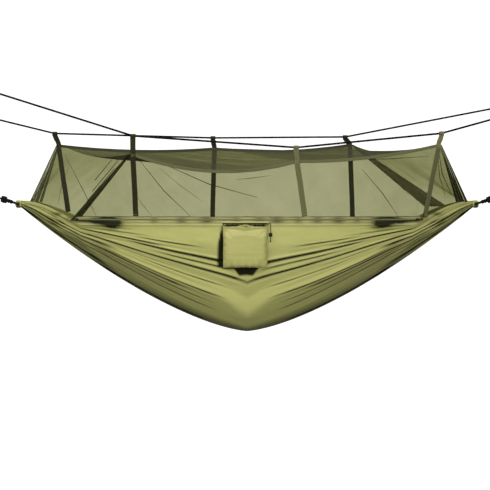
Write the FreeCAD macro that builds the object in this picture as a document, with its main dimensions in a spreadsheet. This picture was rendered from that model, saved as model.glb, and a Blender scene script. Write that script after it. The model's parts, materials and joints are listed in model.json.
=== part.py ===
"""Camping hammock with an insect-net canopy, as a parametric FreeCAD document.

Frame: +X along the hammock towards its right-hand end, -Y towards the near side, which has the zip and
the pocket, +Z up. The origin is under the middle of the hammock, at the level of its lowest point.
"""

import FreeCAD, Part
import math
import os

import Sketcher

Vector = FreeCAD.Vector
Rotation = FreeCAD.Rotation
Placement = FreeCAD.Placement

X_AXIS = Vector(1, 0, 0)
Y_AXIS = Vector(0, 1, 0)
Z_AXIS = Vector(0, 0, 1)
NEAR, FAR = -1, 1
LEFT, RIGHT = -1, 1
SIDE_NAME = {NEAR: "near", FAR: "far"}
END_NAME = {LEFT: "left", RIGHT: "right"}

# Driving dimensions in millimetres and degrees: alias, value, what it is.
DIMENSIONS = [
    ("half_span", 1114, "middle of the hammock to the gathered end of the fabric"),
    ("edge_half_width", 420, "widest half width of the fabric, at its long edges"),
    ("bundle_half_width", 22, "half width of the gathered fabric at each end"),
    ("bundle_depth", 34, "height of the gathered fabric at each end"),
    ("edge_height", 541, "height of the level middle stretch of the long edges"),
    ("tip_height", 646, "height of the long edges at the gathered ends"),
    ("level_half_length", 800, "half length of the level stretch of the long edges"),
    ("keel_power", 1.47, "power of the curve of the underside, tip to tip"),
    ("bowl_power", 2.2, "power of the curve of the cross-section, edge to edge"),
    ("fabric_thickness", 1, "body fabric, two layers with their coating"),
    ("net_thickness", 0.8, "net panel"),
    ("layer_gap", 1, "gap between layers that are sewn together"),
    ("tape_thickness", 1.5, "binding tape"),
    ("hem_height", 14, "height of the hem along each long edge"),
    ("strap_width", 25, "webbing of the net's upright straps"),
    ("strap_thickness", 2, "webbing of the net's upright straps"),
    ("strap_loop_radius", 8, "inside radius of each strap's loop"),
    ("ridge_half_width", 450, "middle of the hammock to each ridge cord"),
    ("ridge_end_x", 1450, "middle of the hammock to each ridge cord's end eye"),
    ("ridge_cord_radius", 3, "ridge cord"),
    ("ridge_knot_radius", 7, "knot where the ridge cord's eye closes"),
    ("ridge_eye_radius", 18, "end eye of the ridge cord, to the middle of the cord"),
    ("net_foot_gap", 3, "gap between the fabric's edge and the foot of the net"),
    ("zip_foot_gap", 23, "the same gap along the zip, where the net hangs on the upper tape"),
    ("strap_zip_gap", 31, "the same gap under the straps that end above the zip"),
    ("top_tape_height", 15, "tape along the long top edges of the net"),
    ("end_panel_step", 6, "end panels of the net, beyond the ends of the side panels"),
    ("end_panel_inset", 3, "feet of the end panels, inside the fabric's edge"),
    ("near_sag", 62, "sag of the near top edge between two straps"),
    ("far_sag", 20, "sag of the far top edge between two straps"),
    ("zip_half_length", 830, "half length of the zip, measured along X"),
    ("zip_height", 555, "height of the middle of the zip"),
    ("zip_stand_off", 7, "fabric edge to the back of the zip tape"),
    ("zip_tape_width", 12, "each of the two zip tapes"),
    ("coil_height", 2.4, "each of the two rows of the zip coil"),
    ("coil_depth", 4, "coil, from its back to its front"),
    ("coil_gap", 1.2, "gap between the two rows of the coil"),
    ("slider_length", 14, "zip slider, along its travel"),
    ("slider_height", 11, "zip slider, across the tape"),
    ("slider_plate", 1.6, "each of the zip slider's two plates"),
    ("slider_web", 0.8, "web that joins the zip slider's plates"),
    ("slider_web_length", 4, "web that joins the zip slider's plates, along its travel"),
    ("slider_play", 0.5, "play between the zip slider and the coil"),
    ("bridge_height", 4.5, "bridge of the zip slider over its front plate"),
    ("bridge_thickness", 1.6, "bar of the zip slider's bridge"),
    ("bridge_half_length", 5, "zip slider's bridge, along its travel"),
    ("bridge_width", 2, "zip slider's bridge, across the tape"),
    ("pull_length", 34, "zip pull"),
    ("pull_width", 8, "zip pull"),
    ("pull_thickness", 1.4, "zip pull"),
    ("pull_window_length", 9, "window of the zip pull, which holds the bridge"),
    ("pull_window_width", 3.2, "window of the zip pull, which holds the bridge"),
    ("zip_stop_length", 6, "stop that closes each end of the coil"),
    ("pocket_width", 218, "stuff sack and pocket"),
    ("pocket_height", 220, "stuff sack and pocket"),
    ("pocket_depth", 26, "stuff sack and pocket, lying empty"),
    ("pocket_wall", 2, "cloth of the pocket"),
    ("pocket_top", 538, "height of the pocket's mouth"),
    ("pocket_x", -9, "middle of the pocket along X"),
    ("hanging_tape_height", 8, "tape that sews the pocket to the hammock"),
    ("pocket_back_y", 433, "middle of the hammock to the back of the pocket's mouth"),
    ("pocket_lean", 15, "lean of the pocket towards the fabric"),
    ("drawcord_radius", 1.5, "drawcord of the pocket"),
    ("lock_radius", 8, "cord lock barrel"),
    ("lock_length", 20, "cord lock barrel"),
    ("lock_drop", 52, "pocket's mouth to the middle of the cord lock"),
    ("tail_length", 32, "drawcord below the middle of the cord lock"),
    ("lock_floor", 2, "closed end of the cord lock barrel"),
    ("spring_floor", 0.5, "room left under the button when it is pressed"),
    ("button_radius", 5, "cord lock button"),
    ("lock_spring_wire", 0.4, "radius of the wire of the spring under the cord lock's button"),
    ("lock_spring_radius", 3.2, "spring under the cord lock's button"),
    ("lock_spring_pitch", 1.1, "spring under the cord lock's button"),
    ("button_length", 19, "cord lock button, from its foot to its head"),
    ("button_play", 0.3, "radial clearance of the button in the barrel"),
    ("button_travel", 4, "travel of the cord lock button"),
    ("lock_hole_radius", 2, "hole for the drawcord through the cord lock"),
    ("suspension_angle", 17, "slope of the end cords and carabiners"),
    ("channel_radius", 15, "sewn channel at each gathered end, outside"),
    ("channel_bore", 5.5, "sewn channel at each gathered end, inside radius"),
    ("channel_length", 50, "sewn channel, gathered"),
    ("channel_x", 1130, "middle of the hammock to the channel's axis"),
    ("channel_height", 629, "height of the channel's axis"),
    ("end_cord_radius", 4, "end cord"),
    ("knot_distance", 76, "channel's axis to the middle of the end cord's knot"),
    ("knot_radius", 16, "knot of the end cord"),
    ("knot_wraps", 5, "turns of cord round the knot"),
    ("knot_bite", 1, "how far the knot's turns press into each other"),
    ("strand_bite", 1.2, "how far the two strands press into each other between the channel and the eye"),
    ("cord_clearance", 1, "end cord to the ends of the channel"),
    ("lead_out", 5, "straight run of the end cord beyond the channel"),
    ("eye_shoulder", 8, "straight run of the eye of the end cord"),
    ("eye_distance", 142, "channel's axis to the carabiner's seat in the end cord"),
    ("eye_half_width", 10, "eye of the end cord, to the middle of the cord"),
    ("clip_bar", 8, "thickness of the carabiner's bar"),
    ("clip_inner_radius", 13, "bow of the carabiner, inside"),
    ("clip_bow_spacing", 38, "between the middles of the carabiner's two bows"),
    ("clip_fillet", 2.8, "rounding of the carabiner's bar"),
    ("clip_seat", 4.5, "end cord's middle to the inside of the carabiner's bow"),
    ("cut_over", 1, "how far the cuts in the carabiner run past its bar"),
    ("gate_root", 3.4, "gate's pin to the back of the gate and of the frame's gap"),
    ("tongue_back", 5.2, "gate's pin to the back of the tongue"),
    ("tongue_front", 6, "gate's pin to the front of the cut beside the tongue"),
    ("gate_inset", 0.3, "gate's bar below the frame's, all round"),
    ("gate_slot_back", 8, "slot for the tongue, behind the gate's pin"),
    ("gate_slot_front", 5, "slot for the tongue, in front of the gate's pin"),
    ("gate_pin_inset", 0.4, "each end of the gate's pin below the frame's face"),
    ("gate_pin_fit", 0.01, "gate's pin below its hole in the frame, on the radius"),
    ("gate_pin_x", 14, "end cord's middle to the gate's pin, along the carabiner"),
    ("gate_length", 32, "gate of the carabiner, from its pin to its nose"),
    ("gate_pin_radius", 1.5, "pin of the gate"),
    ("gate_pin_play", 0.05, "radial clearance of the gate on its pin"),
    ("tongue_thickness", 3, "tongue of the carabiner's frame in the gate"),
    ("tongue_play", 0.2, "clearance on each side of the tongue"),
    ("nose_gap", 0.6, "gap between the gate's nose and the frame"),
    ("gate_spring_radius", 1.1, "spring inside the gate, to the middle of its wire"),
    ("gate_spring_wire", 0.25, "radius of the wire of the spring inside the gate"),
    ("gate_spring_pitch", 0.9, "spring inside the gate"),
    ("gate_spring_length", 12, "spring inside the gate"),
    ("gate_spring_seat", 6.5, "gate's pin to the seat of the spring inside the gate"),
    ("spring_bore_start", 4, "gate's pin to the start of the spring's bore"),
    ("spring_bore_length", 16, "bore for the spring inside the gate"),
    ("spring_bore_play", 0.1, "radial clearance of the spring in its bore"),
]

# The net's upright straps: side, place, foot x, top corner x, top corner height, loop x, loop height.
STRAPS = [
    (NEAR, "left", -527, -533, 866, -533, 947),
    (NEAR, "middle", 271, 234, 835, 229, 893),
    (NEAR, "right", 858, 893, 910, 907, 959),
    (FAR, "left", -905, -983, 932, -1004, 997),
    (FAR, "middle", -180, -170, 916, -178, 974),
    (FAR, "right", 546, 539, 943, 513, 979),
]
# The ends of the ridge cords: side, end, distance from the middle plane, height.
RIDGE_ENDS = [
    (NEAR, LEFT, 330, 1240),
    (NEAR, RIGHT, 400, 1111),
    (FAR, LEFT, 400, 1107),
    (FAR, RIGHT, 330, 1157),
]
# Where the net's corner seams meet the fabric's edge: side, end, x.
CORNER_SEAMS = {
    (NEAR, LEFT): -820,
    (NEAR, RIGHT): 1066,
    (FAR, LEFT): -1066,
    (FAR, RIGHT): 980,
}

doc = FreeCAD.newDocument("camping_hammock")
sheet = doc.addObject("Spreadsheet::Sheet", "Dims")
for row, (alias, value, meaning) in enumerate(DIMENSIONS, start=1):
    sheet.set(f"A{row}", alias)
    sheet.set(f"B{row}", str(value))
    sheet.setAlias(f"B{row}", alias)
    sheet.set(f"C{row}", meaning)
doc.recompute()

labels = []


def dim(alias):
    """A driving dimension, read from the sheet."""
    return float(sheet.get(alias))


def keep(obj, label):
    """Marks a document object as a sub-part that is written to its own file."""
    obj.Label = label
    labels.append(obj.Name)
    return obj


def feature(label, shape, placement=None):
    """A sub-part whose shape comes from Part's own functions."""
    obj = doc.addObject("Part::Feature", label)
    obj.Shape = shape
    if placement is not None:
        obj.Placement = placement
    return keep(obj, label)


# ---------------------------------------------------------------- the fabric's outline


def edge_radius():
    """Radius, in plan, of the arc that each long edge follows."""
    rise = dim("edge_half_width") - dim("bundle_half_width")
    return (dim("half_span") ** 2 + rise**2) / (2 * rise)


def edge_centre():
    """Distance of the arc's centre beyond the middle plane, on the other side."""
    return edge_radius() - dim("edge_half_width")


def edge_y(x, stand_off=0.0):
    """Distance of a long edge from the middle plane."""
    radius = edge_radius() + stand_off
    return math.sqrt(radius**2 - x**2) - edge_centre()


def edge_z(x):
    """Height of a long edge: level in the middle, then rising to the gathered end."""
    run = dim("half_span") - dim("level_half_length")
    share = min(1.0, max(0.0, abs(x) - dim("level_half_length")) / run)
    rise = dim("tip_height") - dim("edge_height")
    return dim("edge_height") + rise * math.sin(share * math.pi / 2) ** 1.2


def keel_z(x):
    """Height of the underside in the middle plane."""
    top = dim("tip_height") - dim("bundle_depth")
    return top * (abs(x) / dim("half_span")) ** dim("keel_power")


# ---------------------------------------------------------------- sheets, strips and cords


def spaced(start, stop, count):
    """Evenly spaced numbers from start to stop."""
    return [start + (stop - start) * i / (count - 1) for i in range(count)]


def closed_wire(points):
    return Part.makePolygon(list(points) + [points[0]])


def strip(columns, thickness):
    """A thin ruled solid. Each column is a list of points, and thickness is the vector across it."""
    wires = []
    for column in columns:
        back = [point + thickness for point in reversed(column)]
        wires.append(closed_wire(list(column) + back))
    return Part.makeLoft(wires, True, True)


def rod_chain(points, radius):
    """A round cord along straight stretches, with a ball at each bend."""
    pieces = []
    for start, stop in zip(points, points[1:]):
        run = stop - start
        pieces.append(Part.makeCylinder(radius, run.Length, start, run))
    for bend in points[1:-1]:
        pieces.append(Part.makeSphere(radius, bend))
    return pieces[0].fuse(pieces[1:]).removeSplitter()


def body_fabric():
    """The sling: one sheet, gathered at both ends."""
    stations, across = 37, 17
    grid = []
    for x in spaced(-dim("half_span"), dim("half_span"), stations):
        row = []
        for share in spaced(-1, 1, across):
            y = share * edge_y(x)
            z = keel_z(x) + (edge_z(x) - keel_z(x)) * abs(share) ** dim("bowl_power")
            row.append(Vector(x, y, z))
        grid.append(row)
    surface = Part.BSplineSurface()
    surface.interpolate(grid)
    face = surface.toShape()
    fabric = face.makeOffsetShape(dim("fabric_thickness"), 0.01, fill=True)
    if fabric.BoundBox.ZMin < -0.5 * dim("fabric_thickness"):
        fabric = face.makeOffsetShape(-dim("fabric_thickness"), 0.01, fill=True)
    feature("body_fabric", fabric)


def edge_hem(side):
    """The hem along a long edge, on the outside of the fabric."""
    stand_off = dim("fabric_thickness") + 1.5 * dim("layer_gap")
    columns = []
    reach = dim("half_span") - dim("channel_radius")
    for x in spaced(-reach, reach, 29):
        y = side * edge_y(x, stand_off)
        top = edge_z(x)
        columns.append([Vector(x, y, top - dim("hem_height")), Vector(x, y, top)])
    across = Vector(0, side * dim("tape_thickness"), 0)
    feature(f"{SIDE_NAME[side]}_edge_hem", strip(columns, across))


# ---------------------------------------------------------------- the net


def strap_rows(side):
    return [row for row in STRAPS if row[0] == side]


def top_edge(side, share):
    """A point of a long top edge of the net; share runs from 0 at its left corner to 2 at its right."""
    rows = strap_rows(side)
    first = min(1, int(share))
    start, stop = rows[first], rows[first + 1]
    within = share - first
    x = start[3] + (stop[3] - start[3]) * within
    sag = dim("near_sag") if side == NEAR else dim("far_sag")
    if side == NEAR and first == 1:
        sag = dim("far_sag")
    z = start[4] + (stop[4] - start[4]) * within - 4 * sag * within * (1 - within)
    return Vector(x, side * dim("ridge_half_width"), z)


def foot_point(side, x):
    """A point of the net's foot: just above the fabric's edge, or on the zip's upper tape."""
    zipped = side == NEAR and abs(x) < dim("zip_half_length")
    gap = dim("zip_foot_gap") if zipped else dim("net_foot_gap")
    return Vector(x, side * edge_y(x), edge_z(x) + gap)


def side_panel(side):
    """A long side of the net, with the fans that close its two corners."""
    rows = strap_rows(side)
    half_strap = dim("strap_width") / 2
    columns = []
    seam_left = CORNER_SEAMS[(side, LEFT)]
    seam_right = CORNER_SEAMS[(side, RIGHT)]
    left_corner, right_corner = top_edge(side, 0), top_edge(side, 2)
    for share in spaced(0, 0.8, 3):
        foot = seam_left + (rows[0][2] - seam_left) * share
        columns.append([foot_point(side, foot), left_corner - X_AXIS * half_strap * (1 - share)])
    for share in spaced(0, 2, 13):
        first = min(1, int(share))
        foot = rows[first][2] + (rows[first + 1][2] - rows[first][2]) * (share - first)
        columns.append([foot_point(side, foot), top_edge(side, share)])
    for share in spaced(0.2, 1, 3):
        foot = rows[2][2] + (seam_right - rows[2][2]) * share
        columns.append([foot_point(side, foot), right_corner + X_AXIS * half_strap * share])
    inwards = Vector(0, -side * dim("net_thickness"), 0)
    feature(f"{SIDE_NAME[side]}_net_panel", strip(columns, inwards))


def top_panel():
    """The roof of the net, a skewed sheet that sags between its two long edges."""
    inset = dim("net_thickness") + 2 * dim("layer_gap")
    columns = []
    for share in spaced(0, 2, 15):
        near, far = top_edge(NEAR, share), top_edge(FAR, share)
        near.y += inset
        far.y -= inset
        columns.append([near, far])
    feature("top_net_panel", strip(columns, Vector(0, 0, -dim("net_thickness"))))


def end_foot(end, share):
    """A point of an end panel's foot, which runs round the gathered end from one long edge to the other."""
    step = end * dim("end_panel_step")
    inset = -dim("end_panel_inset")
    near_x, far_x = CORNER_SEAMS[(NEAR, end)] + step, CORNER_SEAMS[(FAR, end)] + step
    tip_x = end * max(abs(near_x), abs(far_x))
    half_crossing = edge_y(tip_x, inset)
    lengths = [abs(tip_x - near_x), 2 * half_crossing, abs(tip_x - far_x)]
    run = share * sum(lengths)
    if run < lengths[0]:
        x = near_x + end * run
        y = -edge_y(x, inset)
        height = foot_point(NEAR, x).z
    elif run <= lengths[0] + lengths[1]:
        x = tip_x
        y = run - lengths[0] - half_crossing
        height = foot_point(FAR, x).z
    else:
        x = tip_x - end * (run - lengths[0] - lengths[1])
        y = edge_y(x, inset)
        height = foot_point(FAR, x).z
    return Vector(x, y, height)


def end_panel(end):
    """A short end of the net, from the roof's short edge down to the gathered end of the fabric."""
    near_corner = top_edge(NEAR, 0 if end == LEFT else 2)
    far_corner = top_edge(FAR, 0 if end == LEFT else 2)
    top_step = X_AXIS * end * (dim("strap_width") / 2 + 2 * dim("layer_gap"))
    columns = []
    for share in spaced(0, 1, 13):
        top = near_corner + (far_corner - near_corner) * share
        columns.append([end_foot(end, share), top + top_step])
    outwards = Vector(end * dim("net_thickness"), 0, 0)
    feature(f"{END_NAME[end]}_net_panel", strip(columns, outwards))


def top_tape(side):
    """The binding tape along a long top edge of the net."""
    reach = dim("ridge_half_width") + dim("layer_gap")
    columns = []
    for share in spaced(0, 2, 17):
        point = top_edge(side, share)
        point.y = side * reach
        columns.append([point - Z_AXIS * dim("top_tape_height"), point])
    across = Vector(0, side * dim("tape_thickness"), 0)
    feature(f"{SIDE_NAME[side]}_top_tape", strip(columns, across))


def strap(row):
    """An upright strap: webbing from the fabric's edge to the corner, then a loop for the ridge cord."""
    side, place, foot_x, corner_x, corner_z, loop_x, loop_z = row
    stand_off = 3.5 * dim("layer_gap") + dim("tape_thickness")
    zipped = side == NEAR and abs(foot_x) < dim("zip_half_length")
    lift = dim("strap_zip_gap") if zipped else dim("net_foot_gap")
    half = dim("strap_width") / 2
    outer_y = side * (dim("ridge_half_width") + stand_off)
    below_tape = corner_z - dim("top_tape_height") - 3 * dim("layer_gap")
    stations = [
        (corner_x, outer_y, below_tape),
        (corner_x, outer_y, corner_z),
        (loop_x, side * dim("ridge_half_width"), loop_z - dim("strap_loop_radius")),
    ]
    foot_z = edge_z(foot_x) + lift
    feet = [Vector(x, side * edge_y(x, stand_off), foot_z) for x in (foot_x - half, foot_x + half)]
    edges = [feet] + [[Vector(x - half, y, z), Vector(x + half, y, z)] for x, y, z in stations]
    outwards = Vector(0, side * dim("strap_thickness"), 0)
    sections = [closed_wire([left, right, right + outwards, left + outwards]) for left, right in edges]
    webbing = Part.makeLoft(sections, True, True)
    axle = Vector(loop_x - half, side * dim("ridge_half_width"), loop_z)
    inner = dim("strap_loop_radius")
    outer = inner + dim("strap_thickness")
    ring = Part.makeCylinder(outer, dim("strap_width"), axle, X_AXIS)
    hole = Part.makeCylinder(inner, dim("strap_width"), axle, X_AXIS)
    shape = webbing.fuse(ring).cut(hole).removeSplitter()
    feature(f"{SIDE_NAME[side]}_strap_{place}", shape)


def ridge_cord(side):
    """A ridge cord: through its three loops, with an eye tied at each end."""
    ends = {row[1]: row for row in RIDGE_ENDS if row[0] == side}
    points = [Vector(row[5], side * dim("ridge_half_width"), row[6]) for row in strap_rows(side)]
    eyes = []
    for end in (LEFT, RIGHT):
        _, _, y, z = ends[end]
        tie = Vector(end * dim("ridge_end_x"), side * y, z)
        points.insert(0 if end == LEFT else len(points), tie)
        neighbour = points[1] if end == LEFT else points[-2]
        along = (tie - neighbour).normalize()
        ring_axis = along.cross(Y_AXIS).normalize()
        centre = tie + along * dim("ridge_eye_radius")
        eyes.append(Part.makeTorus(dim("ridge_eye_radius"), dim("ridge_cord_radius"), centre, ring_axis))
        eyes.append(Part.makeSphere(dim("ridge_knot_radius"), tie))
    cord = rod_chain(points, dim("ridge_cord_radius"))
    feature(f"{SIDE_NAME[side]}_ridge_cord", cord.fuse(eyes).removeSplitter())


# ---------------------------------------------------------------- sketches and bodies


def new_body(label, placement=None):
    body = doc.addObject("PartDesign::Body", label)
    if placement is not None:
        body.Placement = placement
    return keep(body, label)


def origin_feature(body, role):
    return next(item for item in body.Origin.OriginFeatures if item.Role == role)


def new_sketch(body, role, lift=None):
    """A sketch on one of the body's own origin planes, lifted along its normal by an expression."""
    sketch = body.newObject("Sketcher::SketchObject", body.Name + "_sketch")
    sketch.AttachmentSupport = [(origin_feature(body, role), "")]
    sketch.MapMode = "FlatFace"
    if lift is not None:
        sketch.setExpression("AttachmentOffset.Base.z", lift)
    return sketch


def drive(sketch, kind, *args):
    """Adds a constraint whose last argument is an expression of the sheet's cells."""
    refs, text = args[:-1], args[-1]
    value = sketch.evalExpression(text)
    value = float(getattr(value, "Value", value))
    index = sketch.addConstraint(Sketcher.Constraint(kind, *refs, value))
    sketch.setExpression(f"Constraints[{index}]", text)


def rectangle(sketch, left, right, low, high):
    """A rectangle whose four sides are expressions, as signed distances from the origin."""
    sides = {}
    for key, text in (("left", left), ("right", right), ("low", low), ("high", high)):
        value = sketch.evalExpression(text)
        sides[key] = float(getattr(value, "Value", value))
    corners = [
        Vector(sides["left"], sides["low"], 0),
        Vector(sides["right"], sides["low"], 0),
        Vector(sides["right"], sides["high"], 0),
        Vector(sides["left"], sides["high"], 0),
    ]
    first = sketch.GeometryCount
    for i in range(4):
        sketch.addGeometry(Part.LineSegment(corners[i], corners[(i + 1) % 4]))
    for i in range(4):
        joined = (first + i, 2, first + (i + 1) % 4, 1)
        sketch.addConstraint(Sketcher.Constraint("Coincident", *joined))
    for i, kind in enumerate(("Horizontal", "Vertical", "Horizontal", "Vertical")):
        sketch.addConstraint(Sketcher.Constraint(kind, first + i))
    drive(sketch, "DistanceX", -1, 1, first, 1, left)
    drive(sketch, "DistanceY", -1, 1, first, 1, low)
    drive(sketch, "DistanceX", -1, 1, first + 2, 1, right)
    drive(sketch, "DistanceY", -1, 1, first + 2, 1, high)


def circle(sketch, x, y, radius):
    """A circle whose middle and radius are expressions."""
    values = []
    for text in (x, y, radius):
        value = sketch.evalExpression(text)
        values.append(float(getattr(value, "Value", value)))
    index = sketch.addGeometry(Part.Circle(Vector(values[0], values[1], 0), Z_AXIS, values[2]))
    drive(sketch, "DistanceX", -1, 1, index, 3, x)
    drive(sketch, "DistanceY", -1, 1, index, 3, y)
    drive(sketch, "Radius", index, radius)


def stadium(sketch, start, stop, radius):
    """A slot outline along the sketch's X axis between two middles, all three as expressions."""
    x0, x1, r = (float(getattr(v, "Value", v)) for v in map(sketch.evalExpression, (start, stop, radius)))
    first = sketch.GeometryCount
    quarter = math.pi / 2
    sketch.addGeometry(Part.LineSegment(Vector(x0, -r, 0), Vector(x1, -r, 0)))
    right = Part.Circle(Vector(x1, 0, 0), Z_AXIS, r)
    sketch.addGeometry(Part.ArcOfCircle(right, -quarter, quarter))
    sketch.addGeometry(Part.LineSegment(Vector(x1, r, 0), Vector(x0, r, 0)))
    left = Part.Circle(Vector(x0, 0, 0), Z_AXIS, r)
    sketch.addGeometry(Part.ArcOfCircle(left, quarter, 3 * quarter))
    for line, line_end, arc, arc_end in ((0, 2, 1, 1), (2, 1, 1, 2), (2, 2, 3, 1), (0, 1, 3, 2)):
        joined = (first + line, line_end, first + arc, arc_end)
        sketch.addConstraint(Sketcher.Constraint("Tangent", *joined))
    sketch.addConstraint(Sketcher.Constraint("Horizontal", first))
    sketch.addConstraint(Sketcher.Constraint("PointOnObject", first + 1, 3, -1))
    drive(sketch, "DistanceX", -1, 1, first + 1, 3, stop)
    drive(sketch, "DistanceX", -1, 1, first + 3, 3, start)
    drive(sketch, "Radius", first + 1, radius)


def pad(body, sketch, length, midplane=False):
    solid = body.newObject("PartDesign::Pad", body.Name + "_pad")
    solid.Profile = sketch
    solid.Midplane = midplane
    solid.setExpression("Length", length)
    return solid


def pocket(body, sketch, length=None, midplane=False, turned=False):
    """A cut of a given length, or right through on both sides."""
    cut = body.newObject("PartDesign::Pocket", body.Name + "_pocket")
    cut.Profile = sketch
    cut.Midplane = midplane
    cut.Reversed = turned
    if length is None:
        cut.Type = 1
    else:
        cut.setExpression("Length", length)
    return cut


def cylinder(label, radius, height, placement):
    """A Part cylinder whose radius and height are expressions."""
    rod = doc.addObject("Part::Cylinder", label)
    rod.setExpression("Radius", radius)
    rod.setExpression("Height", height)
    rod.Placement = placement
    return rod


# ---------------------------------------------------------------- the zip


def zip_arc(label, inner, outer, low, high):
    """A band that follows the near edge's arc, between two radii and two heights."""
    body = new_body(label, Placement(Vector(0, edge_centre(), 0), Rotation()))
    sketch = new_sketch(body, "YZ_Plane")
    rectangle(sketch, f"-({outer})", f"-({inner})", low, high)
    band = body.newObject("PartDesign::Revolution", body.Name + "_revolution")
    band.Profile = sketch
    band.ReferenceAxis = (sketch, ["V_Axis"])
    band.Midplane = True
    band.setExpression("Angle", f"2 * asin(Dims.zip_half_length / ({inner}))")


EDGE_ARC = (
    "((Dims.half_span ^ 2 + (Dims.edge_half_width - Dims.bundle_half_width) ^ 2)"
    " / (2 * (Dims.edge_half_width - Dims.bundle_half_width)))"
)
ZIP_BACK = f"{EDGE_ARC} + Dims.zip_stand_off"
COIL_BACK = f"{ZIP_BACK} - (Dims.coil_depth - Dims.tape_thickness) / 2"


def zip_parts():
    """Two tapes, each with its own row of coil."""
    half_gap = "Dims.coil_gap / 2"
    coil_top = f"Dims.zip_height + {half_gap} + Dims.coil_height"
    coil_bottom = f"Dims.zip_height - {half_gap} - Dims.coil_height"
    front = f"{ZIP_BACK} + Dims.tape_thickness"
    zip_arc("zip_upper_tape", ZIP_BACK, front, coil_top, f"{coil_top} + Dims.zip_tape_width")
    zip_arc("zip_lower_tape", ZIP_BACK, front, f"{coil_bottom} - Dims.zip_tape_width", coil_bottom)
    coil_front = f"{COIL_BACK} + Dims.coil_depth"
    zip_arc("zip_upper_coil", COIL_BACK, coil_front, f"Dims.zip_height + {half_gap}", coil_top)
    zip_arc("zip_lower_coil", COIL_BACK, coil_front, coil_bottom, f"Dims.zip_height - {half_gap}")


def slider_placement(end):
    """At an end of the zip: local X along the zip towards that end, local Y out of the coil's middle."""
    middle = edge_radius() + dim("zip_stand_off") + dim("tape_thickness") / 2
    reach = dim("zip_half_length") - dim("slider_length")
    angle = math.asin(reach / middle)
    spot = Vector(end * reach, edge_centre() - middle * math.cos(angle), dim("zip_height"))
    turn = Rotation(Z_AXIS, math.degrees(end * angle))
    if end == RIGHT:
        return Placement(spot, turn.multiply(Rotation(X_AXIS, 180)))
    return Placement(spot, turn.multiply(Rotation(Z_AXIS, 180)))


def zip_slider(end):
    """Two plates joined by a web at the end that parts the coil, with a bridge over the front plate."""
    body = new_body(f"zip_slider_{END_NAME[end]}", slider_placement(end))
    half_room = "(Dims.coil_depth / 2 + Dims.slider_play)"
    half_length = "Dims.slider_length / 2"
    for low, high in (
        (half_room, f"{half_room} + Dims.slider_plate"),
        (f"-{half_room} - Dims.slider_plate", f"-{half_room}"),
    ):
        sketch = new_sketch(body, "XY_Plane")
        rectangle(sketch, f"-{half_length}", half_length, low, high)
        pad(body, sketch, "Dims.slider_height", midplane=True)
    web = new_sketch(body, "XY_Plane")
    reach = f"{half_room} + Dims.slider_plate / 2"
    rectangle(web, f"-{half_length}", f"-{half_length} + Dims.slider_web_length", f"-({reach})", reach)
    pad(body, web, "Dims.slider_web", midplane=True)
    bridge = new_sketch(body, "XY_Plane")
    foot = f"{half_room} + Dims.slider_plate / 2"
    crown = f"{half_room} + Dims.slider_plate + Dims.bridge_height"
    rectangle(bridge, "-Dims.bridge_half_length", "Dims.bridge_half_length", foot, crown)
    pad(body, bridge, "Dims.bridge_width", midplane=True)
    room = new_sketch(body, "XY_Plane")
    under = f"{crown} - Dims.bridge_thickness"
    half_room = "(Dims.bridge_half_length - Dims.bridge_thickness)"
    rectangle(room, f"-{half_room}", half_room, f"{foot} + Dims.slider_plate / 2", under)
    pocket(body, room, "2 * Dims.bridge_width", midplane=True)


def zip_stop(end):
    """A small block over both rows of the coil, beyond its last turn."""
    place = slider_placement(end)
    reach = dim("slider_length") + 3 * dim("layer_gap")
    shape = Part.makeBox(
        dim("zip_stop_length"),
        dim("coil_depth"),
        2 * dim("coil_height") + dim("coil_gap"),
        Vector(reach, -dim("coil_depth") / 2, -dim("coil_height") - dim("coil_gap") / 2),
    )
    feature(f"zip_stop_{END_NAME[end]}", shape, place)


def pull_axis_offset():
    """Coil's middle to the axis of the zip pull, along the slider's local Y."""
    plate_front = dim("coil_depth") / 2 + dim("slider_play") + dim("slider_plate")
    return plate_front + (dim("bridge_height") - dim("bridge_thickness")) / 2


def zip_pull(end):
    """A flat tab whose cross-bar turns under the slider's bridge."""
    placement = slider_placement(end)
    hinge = Placement(Vector(0, pull_axis_offset(), 0), Rotation())
    body = new_body(f"zip_pull_{END_NAME[end]}", placement.multiply(hinge))
    tab = new_sketch(body, "XZ_Plane")
    half_bar = "Dims.pull_thickness / 2"
    half_width = "Dims.pull_width / 2"
    rectangle(tab, f"-{half_bar}", f"Dims.pull_length - {half_bar}", f"-{half_width}", half_width)
    pad(body, tab, "Dims.pull_thickness", midplane=True)
    window = new_sketch(body, "XZ_Plane")
    half_window = "Dims.pull_window_width / 2"
    rectangle(window, half_bar, f"{half_bar} + Dims.pull_window_length", f"-{half_window}", half_window)
    pocket(body, window, "3 * Dims.pull_thickness", midplane=True)


# ---------------------------------------------------------------- the pocket and its cord lock


def pocket_frame():
    """At the middle of the back edge of the pocket's mouth: local Z up along the pocket's back."""
    top = Vector(dim("pocket_x"), -dim("pocket_back_y"), dim("pocket_top"))
    return Placement(top, Rotation(X_AXIS, dim("pocket_lean")))


def pocket_bag():
    """A flat bag with its mouth at the top, which also serves as the stuff sack."""
    body = new_body("pocket_bag", pocket_frame())
    outline = new_sketch(body, "XZ_Plane")
    rectangle(outline, "-Dims.pocket_width / 2", "Dims.pocket_width / 2", "-Dims.pocket_height", "0")
    pad(body, outline, "Dims.pocket_depth")
    doc.recompute()
    room = new_sketch(body, "XY_Plane")
    half = "Dims.pocket_width / 2 - Dims.pocket_wall"
    rectangle(room, f"-({half})", half, "-Dims.pocket_depth + Dims.pocket_wall", "-Dims.pocket_wall")
    pocket(body, room, "Dims.pocket_height - Dims.pocket_wall")


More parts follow.
